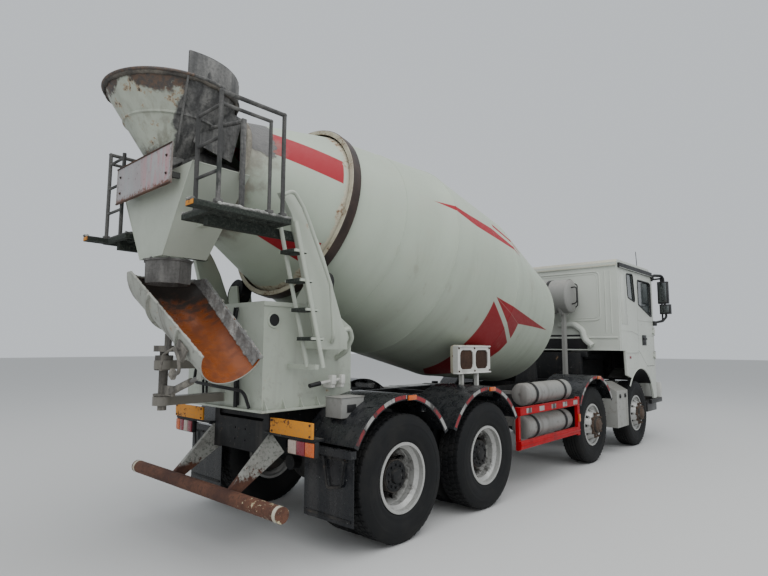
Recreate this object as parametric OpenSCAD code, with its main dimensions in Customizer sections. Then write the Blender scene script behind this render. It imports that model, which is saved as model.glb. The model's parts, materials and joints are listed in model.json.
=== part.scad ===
/* [Chassis] */
// Distance between the two steered axles
axle_gap_12 = 1950; // [1900:10:2100]
// Distance from the second steered axle to the first driven axle
axle_gap_23 = 3000; // [2950:10:3200]
// Distance between the two driven axles
axle_gap_34 = 1350; // [1310:10:1450]
// From the first axle forward to the bumper's face
front_reach = 1400; // [1390:5:1500]
// From the last axle back to the charging hopper's rear rim
rear_reach = 2165; // [2140:5:2300]
// Height of the frame rails' top face above the floor
rail_top = 1030; // [1010:5:1060]
// Height of a frame rail
rail_h = 300; // [260:5:320]
// Outer face of a frame rail from the centre line
rail_out = 430; // [400:5:440]
// Width of a rail's flanges
rail_flange = 90; // [70:5:100]
// Plate thickness of the frame rails
rail_t = 12; // [8:1:16]
// Overhang of the frame rails behind the last axle
rail_rear = 850; // [820:10:880]
// Height of the subframe on top of the rails
subframe_h = 100; // [80:5:120]
// Width of a subframe rail
subframe_w = 80; // [60:5:88]

/* [Wheels] */
// Outer radius of a tyre
tyre_r = 542.5; // [530:0.5:546]
// Width of a tyre across its walls
tyre_w = 295; // [280:1:300]
// Radius of the tyre's bead
bead_r = 285.3; // [284:0.1:288]
// Width of a rim between its flanges
rim_w = 228; // [220:1:232]
// Plate thickness of a rim
rim_t = 12; // [10:1:14]
// Offset of a wheel disc from the tyre's middle plane
disc_offset = 165; // [160:1:168]
// Distance of a steered tyre's middle plane from the centre line
front_y = 1038; // [1030:1:1045]
// Distance of an outer driven tyre's middle plane from the centre line
rear_y = 1095; // [1090:1:1100]
// Distance of a kingpin from the centre line
kingpin_y = 870; // [860:1:874]
// Radius of a kingpin
kingpin_r = 22; // [18:1:26]
// Radius of a steered wheel's spindle
front_spindle_r = 45; // [38:1:50]
// Radius of a driven wheel's spindle
rear_spindle_r = 60; // [50:1:65]
// Radius of a brake drum
brake_r = 205; // [190:1:215]
// Radius of a driven wheel's hub
rear_hub_r = 140; // [125:1:150]
// Radius of a steered wheel's hub
front_hub_r = 110; // [100:1:120]
// Hand holes round a wheel disc
hand_holes = 10; // [8:1:12]

/* [Drum] */
// Forward slope of the drum's axis in degrees
drum_tilt = 13.5; // [12:0.5:15]
// Running ring ahead of the last axle, negative is behind it
ring_dx = -300; // [-340:5:-260]
// Height of the running ring's centre
ring_z = 3020; // [3010:5:3080]
// Outer radius of the running ring
ring_r = 905; // [890:1:920]
// Width of the running ring
ring_w = 110; // [90:5:130]
// Radius of the drum's shell at the running ring
neck_r = 850; // [830:1:860]
// Radius of the drum's mouth
mouth_r = 500; // [480:5:505]
// Length of the cone behind the ring
mouth_l = 930; // [900:5:935]
// Radius of the drum's barrel
barrel_r = 1150; // [1130:5:1155]
// Length of the cone from the ring to the barrel
rear_cone_l = 1300; // [1250:10:1350]
// Length of the straight barrel
barrel_l = 1300; // [1250:10:1350]
// Radius of the drum's head
head_r = 930; // [900:5:950]
// Length of the cone from the barrel to the head
front_cone_l = 1480; // [1440:10:1500]
// Depth of the dished head
dish_d = 250; // [220:5:270]
// Thickness of the drum's shell
shell_t = 8; // [6:1:12]
// Radius of a support roller
roller_r = 130; // [120:1:140]
// Width of a support roller
roller_w = 120; // [100:5:130]
// Angle of the support rollers from straight down
roller_angle = 38; // [34:1:40]
// Radius of the drum's drive shaft
drive_shaft_r = 80; // [60:1:100]
// Radius of the drum's gearbox
gearbox_r = 230; // [200:5:250]

/* [Hopper and chute] */
// Radius of the charging hopper's rim
hopper_r = 550; // [530:5:570]
// Height of the charging hopper's rim
hopper_z = 3763; // [3740:1:3780]
// Height of the splash wall above the rim
splash_h = 197; // [180:1:210]
// Depth of the charging hopper's cone
hopper_d = 560; // [540:5:580]
// Radius of the charging hopper's throat
throat_r = 185; // [170:5:200]
// Plate thickness of the hoppers and the chute
plate_t = 6; // [5:1:8]
// Chute's swivel axis behind the last axle
swivel_back = 1590; // [1575:5:1600]
// Radius of the chute's swivel post
post_r = 35; // [30:1:40]
// Length of the chute
chute_l = 1130; // [1000:10:1150]
// Half width of the chute at its upper end
chute_wide = 330; // [300:5:340]
// Half width of the chute at its lip
chute_lip = 245; // [240:5:290]
// Steepness of the chute in degrees
chute_slope = 35; // [33:1:40]
// Chute's direction from straight right, towards the front, in degrees
chute_turn = 2; // [0:1:8]

/* [Cab] */
// Width of the cab
cab_w = 2400; // [2360:10:2440]
// Height of the cab's roof
cab_top = 3130; // [3100:5:3150]
// Height of the cab's floor from below
cab_floor = 1610; // [1590:5:1630]
// Rear wall of the cab behind the first axle
cab_rear = 775; // [750:5:790]
// Front of the cab ahead of the first axle
cab_front = 1300; // [1290:5:1305]
// Thickness of the cab's walls
cab_t = 50; // [40:1:60]
// Radius of the cab's wheel arch
arch_r = 730; // [715:1:735]
// Height of the cab's tilt pin
tilt_z = 1110; // [1090:5:1120]
// Radius of the cab's tilt pin
tilt_r = 25; // [20:1:30]
// Thickness of the window glass
glass_t = 6; // [5:1:8]
// Gap round a door
door_gap = 8; // [7:1:10]

/* [Body] */
// Half width over the mudguards
guard_y = 1240; // [1235:1:1250]
// Radius of a mudguard's arc
guard_r = 705; // [695:5:715]
// Thickness of a mudguard
guard_t = 8; // [6:1:10]
// Half angle of a mudguard's arc
guard_angle = 62; // [56:1:64]
// Radius of the underrun tube
underrun_r = 57; // [50:1:60]
// Length of the underrun tube
underrun_l = 2325; // [2250:5:2400]
// Height of the underrun tube
underrun_z = 490; // [460:5:520]
// Radius of the water tank
water_r = 285; // [270:5:295]
// Length of the water tank over its domed ends
water_l = 1220; // [1150:10:1260]
// Radius of an air tank
air_r = 135; // [130:1:138]
// Length of an air tank
air_l = 1250; // [1200:10:1280]
// Height of the platforms beside the hopper
platform_z = 2660; // [2640:5:2680]
// Radius of the guard rails' tube
tube_r = 17; // [14:1:20]

/* [Hidden] */
$fn = 96;
// A running gap round a pin and a gap between moving pieces
fit_gap = 0.05;
air_gap = 0.3;
// Lengths along the truck, from the model's middle
total_l = front_reach + axle_gap_12 + axle_gap_23 + axle_gap_34 + rear_reach;
ax4 = rear_reach - total_l / 2;
ax3 = ax4 + axle_gap_34;
ax2 = ax3 + axle_gap_23;
ax1 = ax2 + axle_gap_12;
rail_x0 = ax4 - rail_rear;
rail_low = rail_top - rail_h;
deck_z = rail_top + subframe_h;
// Wheels
dual_gap = 2 * disc_offset - tyre_w;
inner_y = rear_y - tyre_w - dual_gap;
disc_t = 14;
beam_top = tyre_r - 32;
rim_lip_r = bead_r + 13;
drop_r = bead_r - 32;
brake_in = 645;
housing_r = 78;
knuckle_reach = 58;
// Springs
spring_y = rail_out + 14;
leaf_t = 16;
leaf_sag = 70;
axle_top = tyre_r + 66;
bogie_half = axle_gap_34 / 2;
bogie_leaf_r = (bogie_half * bogie_half + leaf_sag * leaf_sag) / (2 * leaf_sag);
// Underside of the bogie springs' main leaf, 50 mm in from its end
spring_seat_z = axle_top + 70 + bogie_leaf_r
    - sqrt(pow(bogie_leaf_r + leaf_t, 2) - pow(bogie_half - 50, 2));
// Driveline
gearbox_x = ax1 - 1240;
shaft_z = rail_low - 60;
// Drum
ring_x = ax4 + ring_dx;
head_s = rear_cone_l + barrel_l + front_cone_l;
shaft_l = 140;
gearbox_s = head_s + dish_d + 40;
gearbox_l = 330;
roller_d = ring_r + roller_r + air_gap;
axle_pin_r = 28;
// Hopper and chute
hopper_x = ax4 - rear_reach + hopper_r;
swivel_x = ax4 - swivel_back;
chute_start = 50;
chute_z = 2245;
chute_pin_z = chute_z - 505;
chute_pin_s = 150;
ring_low_z = 1190;
ring_high_z = 1480;
bearing_h = 70;
jack_r = 28;
jack_s = 150;
jack_z = 1310;
jack_eye_s = 590;
jack_eye_z = 1450;
collar_r = 180;
collar_z = 2175;
// Rear pedestal
pedestal_x0 = ax4 - 1050;
pedestal_l = 1000;
pedestal_y = 600;
pedestal_z = ring_z - 980;
column_y = 800;
platform_y0 = 500;
column_t = 60;
// Cab
cx0 = ax1 - cab_rear;
cx1 = ax1 + cab_front;
arch_x = ax1 + 200;
arch_z = 560;
cab_y = cab_w / 2;
cab_in = cab_y - cab_t;
tilt_x = ax1 + 1150;
rail_x1 = tilt_x - 20;
door_x0 = ax1 + 170;
door_x1 = ax1 + 1010;
hinge_x = door_x1 + 14;
hinge_y = cab_y + 17;
hinge_r = 10;
door_z0 = 1330;
door_z1 = cab_top - 145;
skirt_t = 40;

module both() {
    children();
    mirror([0, 1, 0]) children();
}

module box(lo, hi) {
    translate(lo) cube(hi - lo);
}

// A round bar from one point to another
module rod(a, b, r) {
    d = b - a;
    l = norm(d);
    translate(a) rotate([0, acos(d.z / l), atan2(d.y, d.x)]) cylinder(h = l, r = r, $fn = 32);
}

// A tube through a row of points with round corners
module tube_run(points, r) {
    for (i = [0 : len(points) - 2])
        rod(points[i], points[i + 1], r);
    for (i = [1 : len(points) - 2])
        translate(points[i]) sphere(r = r + 2, $fn = 32);
}

// A side view outline, pushed across from y0 to y1
module across(points, y0, y1) {
    translate([0, y1, 0]) rotate([90, 0, 0]) linear_extrude(y1 - y0) polygon(points);
}

// A rear view outline, pushed along from x0 to x1
module along(points, x0, x1) {
    translate([x0, 0, 0]) rotate([90, 0, 90]) linear_extrude(x1 - x0) polygon(points);
}

// The drum's own frame: origin at the ring's centre, Z forward along the axis
module on_drum() {
    translate([ring_x, 0, ring_z]) rotate([0, 90 + drum_tilt, 0]) children();
}

// A tank along Z round the origin, with domed ends of a depth
module domed_tank(r, l, depth) {
    low = [for (a = [0 : 15 : 90]) [r * sin(a), depth * (1 - cos(a)) - l / 2]];
    rotate_extrude() polygon(concat(low, [for (i = [len(low) - 1 : -1 : 0]) [low[i].x, -low[i].y]]));
}

module rail_section() {
    difference() {
        translate([rail_out - rail_flange, rail_low]) square([rail_flange, rail_h]);
        translate([rail_out - rail_flange - 1, rail_low + rail_t])
            square([rail_flange - rail_t + 1, rail_h - 2 * rail_t]);
    }
}

module cross_member(x, w, z0, z1) {
    box([x - w / 2, -rail_out + rail_t, z0], [x + w / 2, rail_out - rail_t, z1]);
}

module frame() {
    member_w = 80;
    member_z0 = rail_low + rail_t;
    member_z1 = rail_top - rail_t;
    tow_y = 80;
    tow_z = 50;
    mid_z = (rail_low + rail_top) / 2;
    ear_t = 20;
    color([0.08, 0.08, 0.09]) difference() {
        union() {
            both() translate([rail_x0, 0, 0]) rotate([90, 0, 90])
                linear_extrude(rail_x1 - rail_x0) rail_section();
            for (x = [ax4 + 620, ax3 + 700, ax3 + 1500, ax2 - 750, ax2 + 560])
                cross_member(x, member_w, member_z0, member_z1);
            cross_member(rail_x0 + 15, 30, member_z0, member_z1);
            cross_member(rail_x1 - 40, member_w, member_z0, member_z0 + 120);
            both() box([tilt_x - 100, rail_out - rail_flange, rail_top - 1],
                [tilt_x + 30, rail_out - rail_flange + ear_t, tilt_z + 20]);
            translate([tilt_x, 0, tilt_z]) rotate([90, 0, 0])
                cylinder(h = 2 * rail_out, r = tilt_r, center = true);
        }
        for (y = [-tow_y, tow_y], z = [-tow_z, tow_z])
            translate([rail_x0 - 1, y, mid_z + z]) rotate([0, 90, 0])
                cylinder(h = 40, r = 8.5);
    }
}

module subframe() {
    x1 = cx0 - 250;
    color([0.1, 0.1, 0.11]) union() {
        both() box([rail_x0, rail_out - subframe_w, rail_top], [x1, rail_out, deck_z]);
        for (x = [rail_x0 + 60, ax4 + 300, ax3 + 400, ax3 + 1600, x1 - 80])
            box([x - 40, -rail_out + subframe_w / 2, rail_top + 10],
                [x + 40, rail_out - subframe_w / 2, deck_z - 10]);
    }
}

// A leaf spring pack in side view: arc leaves, longest on top
module leaf_pack(x, z, half_l, leaves, y0, y1) {
    r = (half_l * half_l + leaf_sag * leaf_sag) / (2 * leaf_sag);
    for (i = [0 : leaves - 1]) {
        reach = half_l * (1 - 0.11 * i);
        translate([x, y1, z]) rotate([90, 0, 0]) linear_extrude(y1 - y0) intersection() {
            translate([0, r]) difference() {
                circle(r = r + leaf_t * i + leaf_t, $fn = 200);
                circle(r = r + leaf_t * i, $fn = 200);
            }
            translate([-reach, -leaf_t * leaves - 20]) square([2 * reach, 200]);
        }
    }
}

module springs() {
    pack_w = 75;
    y0 = spring_y;
    color([0.12, 0.11, 0.1]) {
        both() for (x = [ax1, ax2]) {
            leaf_pack(x, axle_top + 90, 700, 5, y0, y0 + pack_w);
            box([x - 60, y0, beam_top + air_gap], [x + 60, y0 + pack_w, axle_top + 12]);
            for (s = [-1, 1])
                box([x + s * 690 - 35, rail_out, rail_low - 10],
                    [x + s * 690 + 35, y0 + pack_w, rail_low + 130]);
        }
        both() {
            mid = (ax3 + ax4) / 2;
            leaf_pack(mid, axle_top + 70, bogie_half, 6, y0 + 10, y0 + 10 + pack_w);
            box([mid - 110, rail_out, tyre_r - 120], [mid + 110, y0 + 10 + pack_w, axle_top + 20]);
            box([mid - 160, rail_out, tyre_r - 60], [mid + 160, y0, rail_low + 150]);
        }
    }
}

module steer_axles() {
    beam_w = 90;
    color([0.1, 0.1, 0.1]) for (x = [ax1, ax2]) difference() {
        union() {
            box([x - beam_w / 2, -620, tyre_r - 160], [x + beam_w / 2, 620, beam_top]);
            both() translate([x, 0, 0]) along([[600, tyre_r - 160], [kingpin_y - 70, tyre_r - 58],
                [kingpin_y, tyre_r - 58], [kingpin_y, tyre_r + 58], [kingpin_y - 70, tyre_r + 58],
                [600, beam_top]],
                -beam_w / 2, beam_w / 2);
            both() translate([x, kingpin_y, tyre_r]) cylinder(h = 116, r = 48, center = true);
        }
        both() translate([x, kingpin_y, tyre_r])
            cylinder(h = 130, r = kingpin_r + fit_gap, center = true);
    }
}

// A steering knuckle, drawn with its wheel on the +Y side
module knuckle_at(x) {
    web_y = kingpin_y + knuckle_reach;
    color([0.12, 0.12, 0.12]) translate([x, 0, tyre_r]) {
        translate([0, kingpin_y, 0]) cylinder(h = 240, r = kingpin_r, center = true);
        for (s = [-1, 1]) translate([0, kingpin_y, 0]) mirror([0, 0, s < 0 ? 1 : 0]) {
            translate([0, 0, 64]) cylinder(h = 50, r = 46);
            box([-40, 0, 64], [40, knuckle_reach + 10, 114]);
        }
        box([-40, web_y - 5, -114], [40, web_y + 20, 114]);
        translate([0, web_y, 0]) rotate([-90, 0, 0])
            cylinder(h = front_y + disc_offset - web_y - 30, r = front_spindle_r);
    }
}

module knuckle_1r() { mirror([0, 1, 0]) knuckle_at(ax1); }
module knuckle_1l() { knuckle_at(ax1); }
module knuckle_2r() { mirror([0, 1, 0]) knuckle_at(ax2); }
module knuckle_2l() { knuckle_at(ax2); }

module drive_axles() {
    color([0.1, 0.1, 0.1]) {
        for (x = [ax3, ax4]) translate([x, 0, tyre_r]) {
            rotate([90, 0, 0]) cylinder(h = 2 * (brake_in - 5), r = housing_r, center = true);
            rotate([90, 0, 0]) cylinder(h = 2 * (rear_y + 10), r = rear_spindle_r, center = true);
            sphere(r = 200);
            rotate([0, 90, 0]) cylinder(h = 560, r = 70, center = true);
        }
        // Seats under the ends of the springs
        both() for (x = [ax3, ax4])
            box([x - 50, spring_y + 15, tyre_r + 20], [x + 50, spring_y + 80, spring_seat_z - air_gap]);
        rod([ax4 + 260, 0, tyre_r], [ax3 - 260, 0, tyre_r], 45);
        rod([ax3 + 260, 0, tyre_r], [gearbox_x - 2, 0, shaft_z], 45);
    }
}

module powertrain() {
    engine_y = 310;
    gearbox_y = 220;
    color([0.3, 0.3, 0.31]) {
        box([ax1 - 350, -engine_y, rail_low - 40], [ax1 + 850, engine_y, cab_floor - 190]);
        box([gearbox_x, -gearbox_y, shaft_z - 90], [ax1 - 345, gearbox_y, rail_top - 10]);
        // Mounts on the frame rails
        both() for (x = [ax1 - 200, ax1 + 500])
            box([x, engine_y - 1, 850], [x + 120, rail_out - rail_t - air_gap, 910]);
    }
}

module front_bumper() {
    face_t = 60;
    x1 = ax1 + front_reach;
    z0 = 640;
    z1 = 1000;
    tow_z = 700;
    wing_z = 715;
    half = cab_y;
    color([0.8, 0.8, 0.8]) {
        difference() {
            union() {
                box([x1 - face_t, -half, z0], [x1, half, z1]);
                both() box([ax1 + 760, half - 50, z0], [x1 - face_t + 1, half, wing_z]);
                both() box([rail_x1 - 60, rail_out - rail_flange, rail_low - 80],
                    [x1 - face_t + 1, rail_out, rail_low - 0.5]);
            }
            for (y = [-160, 160]) translate([x1 - face_t - 1, y, tow_z]) rotate([0, 90, 0])
                cylinder(h = face_t + 2, r = 26);
            box([x1 - 20, -620, 760], [x1 + 1, 620, 880]);
        }
        // Steps hung on the bumper's wings
        both() box([ax1 + 660, half - 330, z0 - 140], [ax1 + 1200, half - 50 - air_gap, z0 + 30]);
    }
}

// One mudguard arc over an axle, on the left side, from its inner radius out
module guard_arc(x, r0, y0, y1) {
    r1 = guard_r + guard_t;
    spread = r1 * tan(guard_angle);
    translate([x, y1, tyre_r]) rotate([90, 0, 0]) linear_extrude(y1 - y0) intersection() {
        difference() {
            circle(r = r1, $fn = 160);
            circle(r = r0, $fn = 160);
        }
        polygon([[0, 0], [spread, r1], [spread, r1 + 50], [-spread, r1 + 50], [-spread, r1]]);
    }
}

module mudguards() {
    flange_y = rail_out + air_gap;
    arm_z = deck_z - 20;
    arm_t = 40;
    flap_x = ax4 - tyre_r - 90;
    color([0.06, 0.06, 0.06]) both() {
        for (x = [ax2, ax3, ax4]) {
            guard_arc(x, guard_r, 625, guard_y - 4);
            guard_arc(x, guard_r - 45, guard_y - 8, guard_y);
            for (s = [-330, 330]) {
                box([x + s - 30, flange_y, rail_top - 110], [x + s + 30, flange_y + 60, arm_z]);
                box([x + s - 30, flange_y, arm_z - arm_t], [x + s + 30, guard_y - 60, arm_z]);
                for (y = [640, guard_y - 120])
                    box([x + s - 30, y, arm_z - 1], [x + s + 30, y + 60, arm_z + 55]);
            }
        }
        box([flap_x, 650, 270], [flap_x + 8, guard_y, 800]);
        box([flap_x - 30, flange_y, 790], [flap_x + 30, guard_y, 850]);
    }
}

module side_guards() {
    x0 = ax3 + 700;
    x1 = ax2 - 640;
    rail_y = guard_y - 40;
    bar_h = 90;
    color([0.75, 0.05, 0.07]) both() {
        for (z = [500, 880]) box([x0, rail_y, z], [x1, guard_y, z + bar_h]);
        box([x1 - 70, rail_y, 480], [x1, guard_y, 990]);
        box([x0 + 20, rail_y - 40, 480], [x0 + 64, rail_y + 1, 970]);
        for (x = [x0 + 20, x1 - 104])
            box([x, rail_out + air_gap, 903], [x + 44, rail_y + 1, 947]);
    }
}

module air_tanks() {
    x0 = ax3 + 1040;
    y = 1050;
    color([0.55, 0.55, 0.53]) mirror([0, 1, 0]) for (z = [690, 1088]) {
        translate([x0 + air_l / 2, y, z]) rotate([0, 90, 0]) domed_tank(air_r, air_l, 45);
        for (x = [x0 + 200, x0 + air_l - 240]) {
            translate([x, y, z]) rotate([0, 90, 0]) cylinder(h = 50, r = air_r + 5);
            box([x, rail_out + air_gap, z - 20],
                [x + 50, y - air_r + 10, max(z + 20, rail_low + 60)]);
        }
    }
}

module fuel_tank() {
    x0 = ax3 + 900;
    x1 = x0 + 1300;
    color([0.6, 0.6, 0.6]) {
        box([x0, 600, 560], [x1, 1130, 1080]);
        for (x = [x0 + 200, x1 - 250]) {
            box([x, 594, 554], [x + 50, 1136, 1086]);
            box([x, rail_out + 0.3, 760], [x + 50, 600, 860]);
        }
    }
}

module step_boxes() {
    x0 = ax1 - 1140;
    x1 = ax1 - 648;
    y1 = guard_y;
    color([0.72, 0.72, 0.68]) {
        both() {
            along([[760, 410], [y1, 410], [y1, 975], [1000, 1105], [760, 1105]], x0, x1);
            box([x0 + 60, rail_out + air_gap, 800], [x1 - 90, 761, 900]);
        }
        oil_cooler();
    }
}

// The oil cooler on the right, on two legs over the third axle's mudguard
module oil_cooler() {
    x0 = ax3 - 125;
    l = 660;
    z0 = 1375;
    h = 300;
    y0 = 885;
    y1 = 950;
    bar = 45;
    window_l = (l - 3 * bar) / 2;
    mirror([0, 1, 0]) {
        difference() {
            box([x0, y0, z0], [x0 + l, y1, z0 + h]);
            for (i = [0, 1]) box([x0 + bar + i * (window_l + bar), y1 - 20, z0 + bar],
                [x0 + bar + i * (window_l + bar) + window_l, y1 + 1, z0 + h - bar]);
        }
        for (dx = [-30, 270]) box([ax3 + dx, y0 + 10, tyre_r + air_gap
            + sqrt(pow(guard_r + guard_t, 2) - dx * max(dx, 0))], [ax3 + dx + 30, y1 - 10, z0 + 1]);
    }
}

module underrun_bar() {
    x = ax4 - 1247;
    color([0.45, 0.28, 0.2]) {
        translate([x, 0, underrun_z]) rotate([90, 0, 0])
            cylinder(h = underrun_l, r = underrun_r, center = true);
        both() across([[x - 30, underrun_z + 10], [x + 60, underrun_z - 20],
            [rail_x0 + 140, rail_low + 30], [rail_x0 + 5, rail_low + 200]],
            rail_out + air_gap, rail_out + 40);
    }
}

module rear_lamps() {
    shelf_z = 934;
    shelf_t = 22;
    color([0.7, 0.3, 0.1]) both() {
        box([rail_x0 - 55, rail_out + air_gap, shelf_z], [rail_x0 + 50, 1085, shelf_z + shelf_t]);
        // Reflecting plate above and lamp below
        box([rail_x0 - 70, 540, shelf_z + shelf_t - 1], [rail_x0 - 50, 1080, 1080]);
        box([rail_x0 - 60, 760, 810], [rail_x0, 1090, shelf_z + 1]);
    }
}

module drum_profile(r_off, s_off) {
    polygon([[0, -mouth_l - s_off], [mouth_r - r_off, -mouth_l - s_off], [neck_r - r_off, 0],
        [barrel_r - r_off, rear_cone_l], [barrel_r - r_off, rear_cone_l + barrel_l],
        [head_r - r_off, head_s], [head_r * 0.6, head_s + dish_d * 0.72 - r_off],
        [head_r * 0.25, head_s + dish_d - r_off], [0, head_s + dish_d - r_off]]);
}

module drum() {
    color([0.78, 0.8, 0.76]) on_drum() union() {
        difference() {
            rotate_extrude() drum_profile(0, 0);
            rotate_extrude() drum_profile(shell_t, 1);
        }
        translate([0, 0, -mouth_l]) difference() {
            cylinder(h = 40, r = mouth_r + 20);
            translate([0, 0, -1]) cylinder(h = 42, r = mouth_r - shell_t + 2);
        }
        translate([0, 0, head_s + dish_d - shell_t]) cylinder(h = shaft_l, r = drive_shaft_r);
    }
}

module drum_ring() {
    slope = (barrel_r - neck_r) / rear_cone_l;
    slope_back = (neck_r - mouth_r) / mouth_l;
    color([0.16, 0.11, 0.09]) on_drum() rotate_extrude() polygon([
        [neck_r + air_gap - slope_back * ring_w / 2, -ring_w / 2], [ring_r, -ring_w / 2],
        [ring_r, ring_w / 2], [neck_r + air_gap + slope * ring_w / 2, ring_w / 2],
        [neck_r + air_gap, 0]]);
}

module drum_hatch() {
    hatch_s = 2360;
    hatch_angle = 75;
    frame_t = 25;
    color([0.75, 0.76, 0.72]) on_drum() rotate([0, 0, hatch_angle]) translate([0, 0, hatch_s]) {
        difference() {
            hatch_shell(frame_t, 230, 190);
            box([barrel_r - 200, -190, -150], [barrel_r + 200, 190, 150]);
        }
        hatch_shell(14, 184, 144);
    }
}

// A curved plate on the drum's barrel, by its thickness and half sizes
module hatch_shell(t, half_w, half_l) {
    intersection() {
        difference() {
            cylinder(h = 2 * half_l, r = barrel_r + t, center = true);
            cylinder(h = 2 * half_l + 2, r = barrel_r + air_gap, center = true);
        }
        box([barrel_r / 2, -half_w, -half_l - 1], [barrel_r + 200, half_w, half_l + 1]);
    }
}

module roller_at(side) {
    on_drum() rotate([0, 0, side * roller_angle]) translate([roller_d, 0, 0])
        difference() {
            cylinder(h = roller_w, r = roller_r, center = true);
            cylinder(h = roller_w + 2, r = axle_pin_r + fit_gap, center = true);
        }
}

module roller_right() { color([0.1, 0.1, 0.1]) roller_at(-1); }
module roller_left() { color([0.1, 0.1, 0.1]) roller_at(1); }

module drum_drive() {
    color([0.12, 0.12, 0.12]) {
        on_drum() difference() {
            union() {
                translate([0, 0, gearbox_s]) cylinder(h = gearbox_l, r = gearbox_r);
                translate([0, 0, gearbox_s + gearbox_l]) cylinder(h = 260, r = 120);
            }
            translate([0, 0, gearbox_s - 1])
                cylinder(h = shaft_l, r = drive_shaft_r + fit_gap);
        }
        both() across([[drive_x - 420, deck_z], [drive_x + 330, deck_z],
            [drive_x + 190, drive_z + 60], [drive_x - 60, drive_z + 60]], 250, 275);
        across([[drive_x - 20, deck_z], [drive_x + 200, deck_z],
            [drive_x + 190, drive_z - 150], [drive_x + 20, drive_z - 150]], -251, 251);
    }
}
drive_x = ring_x + cos(drum_tilt) * (gearbox_s + gearbox_l / 2);
drive_z = ring_z - sin(drum_tilt) * (gearbox_s + gearbox_l / 2);

module water_tank() {
    x = cx0 - 330;
    z = 2524;
    color([0.6, 0.61, 0.6]) {
        translate([x, 0, z]) rotate([90, 0, 0]) domed_tank(water_r, water_l, 90);
        both() {
            box([x - 60, 380, deck_z + 0.3], [x + 40, 430, z - water_r + 40]);
            across([[x - 120, z - water_r - 30], [x + 120, z - water_r - 30],
                [x + 200, z - water_r + 90], [x - 200, z - water_r + 90]], 380, 430);
        }
    }
}

module rear_pedestal() {
    x0 = pedestal_x0;
    x1 = x0 + pedestal_l;
    wall = 10;
    shoulder = x0 + 700;
    front_z = pedestal_z - 190;
    foot_z = pedestal_z - 400;
    color([0.78, 0.79, 0.75]) {
        difference() {
            across([[x0, deck_z], [x1, deck_z], [x1, front_z], [shoulder, pedestal_z], [x0, pedestal_z]],
                -pedestal_y, pedestal_y);
            across([[x0 + wall, deck_z - 1], [x1 - wall, deck_z - 1], [x1 - wall, front_z - wall],
                [shoulder, pedestal_z - wall], [x0 + wall, pedestal_z - wall]],
                -pedestal_y + wall, pedestal_y - wall);
        }
        both() {
            // Slanted column up to the platform, on a bracket at its foot
            across([[x1 - 260, foot_z], [x1 - 10, foot_z], [x1 - 10, foot_z + 120],
                [x0 + 110, platform_z + 240], [x0 - 50, platform_z + 240]],
                column_y, column_y + column_t);
            box([x1 - 255, pedestal_y - 1, foot_z + 5], [x1 - 15, column_y + 1, foot_z + 100]);
            roller_stand();
        }
        // Arms that carry the chute's swivel post
        for (z = [ring_low_z, ring_high_z]) difference() {
            union() {
                box([swivel_x, -60, z], [x0 + 1, 60, z + bearing_h]);
                translate([swivel_x, 0, z]) cylinder(h = bearing_h, r = 75);
            }
            translate([swivel_x, 0, z - 1]) cylinder(h = bearing_h + 2, r = post_r + fit_gap);
        }
    }
}

// Two plates either side of a support roller, with its pin, standing on the pedestal
module roller_stand() {
    fork = roller_w / 2 + 8;
    fork_t = 20;
    at_x = cos(roller_angle) * roller_d;
    at_y = sin(roller_angle) * roller_d;
    top_x = (ring_z - pedestal_z) / cos(drum_tilt);
    on_drum() {
        translate([at_x, at_y, 0]) cylinder(h = 2 * (fork + fork_t), r = axle_pin_r, center = true);
        for (s = [-1, 1]) translate([0, 0, s * (fork + fork_t / 2)])
            linear_extrude(fork_t, center = true) polygon([[at_x - 45, at_y - 60], [at_x - 45, at_y + 60],
                [at_x + 50, at_y + 60], [top_x + 60, pedestal_y - 5], [top_x + 60, pedestal_y - 130],
                [top_x - 40, pedestal_y - 130]]);
    }
}

module platforms() {
    t = 50;
    rear_x = ax4 - 1750;
    front_x = ax4 - 1100;
    y0 = platform_y0;
    y1 = 1000;
    top = platform_z + 820;
    post_y = y1 - 20;
    post_x = rear_x + 20;
    inner_post = 665;
    color([0.25, 0.26, 0.25]) both() {
        difference() {
            box([rear_x, y0, platform_z - t], [front_x, y1, platform_z]);
            for (i = [0 : 5], j = [0 : 3])
                box([rear_x + 40 + i * 100, y0 + 35 + j * 112, platform_z - t - 1],
                    [rear_x + 110 + i * 100, y0 + 120 + j * 112, platform_z + 1]);
        }
        // Outer beam, longer than the platform
        box([rear_x - 170, y1 - 110, platform_z - t + 5], [rear_x + 1, y1, platform_z - 5]);
        tube_run([[post_x, post_y, platform_z - 5], [post_x, post_y, top],
            [front_x - 75, post_y, top], [front_x - 75, post_y, platform_z - 5]], tube_r);
        tube_run([[post_x, post_y, top - 90], [front_x - 200, post_y, top - 90],
            [front_x - 200, post_y, platform_z - 5]], tube_r - 3);
        rod([post_x, inner_post, platform_z - 5], [post_x, inner_post, top - 60], tube_r);
        for (i = [1 : 3])
            rod([post_x, inner_post, platform_z + i * 240],
                [post_x, post_y, platform_z + i * 240], tube_r - 4);
        box([rear_x + 50, column_y - column_t - air_gap, platform_z - 120],
            [ax4 - 820, column_y - air_gap, platform_z - t + 1]);
    }
}

module ladder() {
    top = [ax4 - 1076, -1025, platform_z - 20];
    foot = [ax4 - 800, -1060, 1500];
    width = [0, 200, 0];
    color([0.6, 0.6, 0.57]) {
        rod(top, foot, tube_r);
        rod(top + width, foot + width, tube_r);
        for (i = [1 : 4]) {
            p = foot + (top - foot) * i / 5;
            box(p + [-60, 0, -10], p + [60, 200, 10]);
        }
        box(foot + [0, 100, -20], [foot.x + 40, -pedestal_y - 0.3, foot.z + 20]);
    }
}

module number_board() {
    x = ax4 - 1845;
    color([0.75, 0.76, 0.76]) {
        box([x, -500, 2880], [x + 8, 500, 3200]);
        both() box([x + 7, 400, 2950], [ax4 - 1740 - air_gap, 440, 2990]);
    }
}

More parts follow.
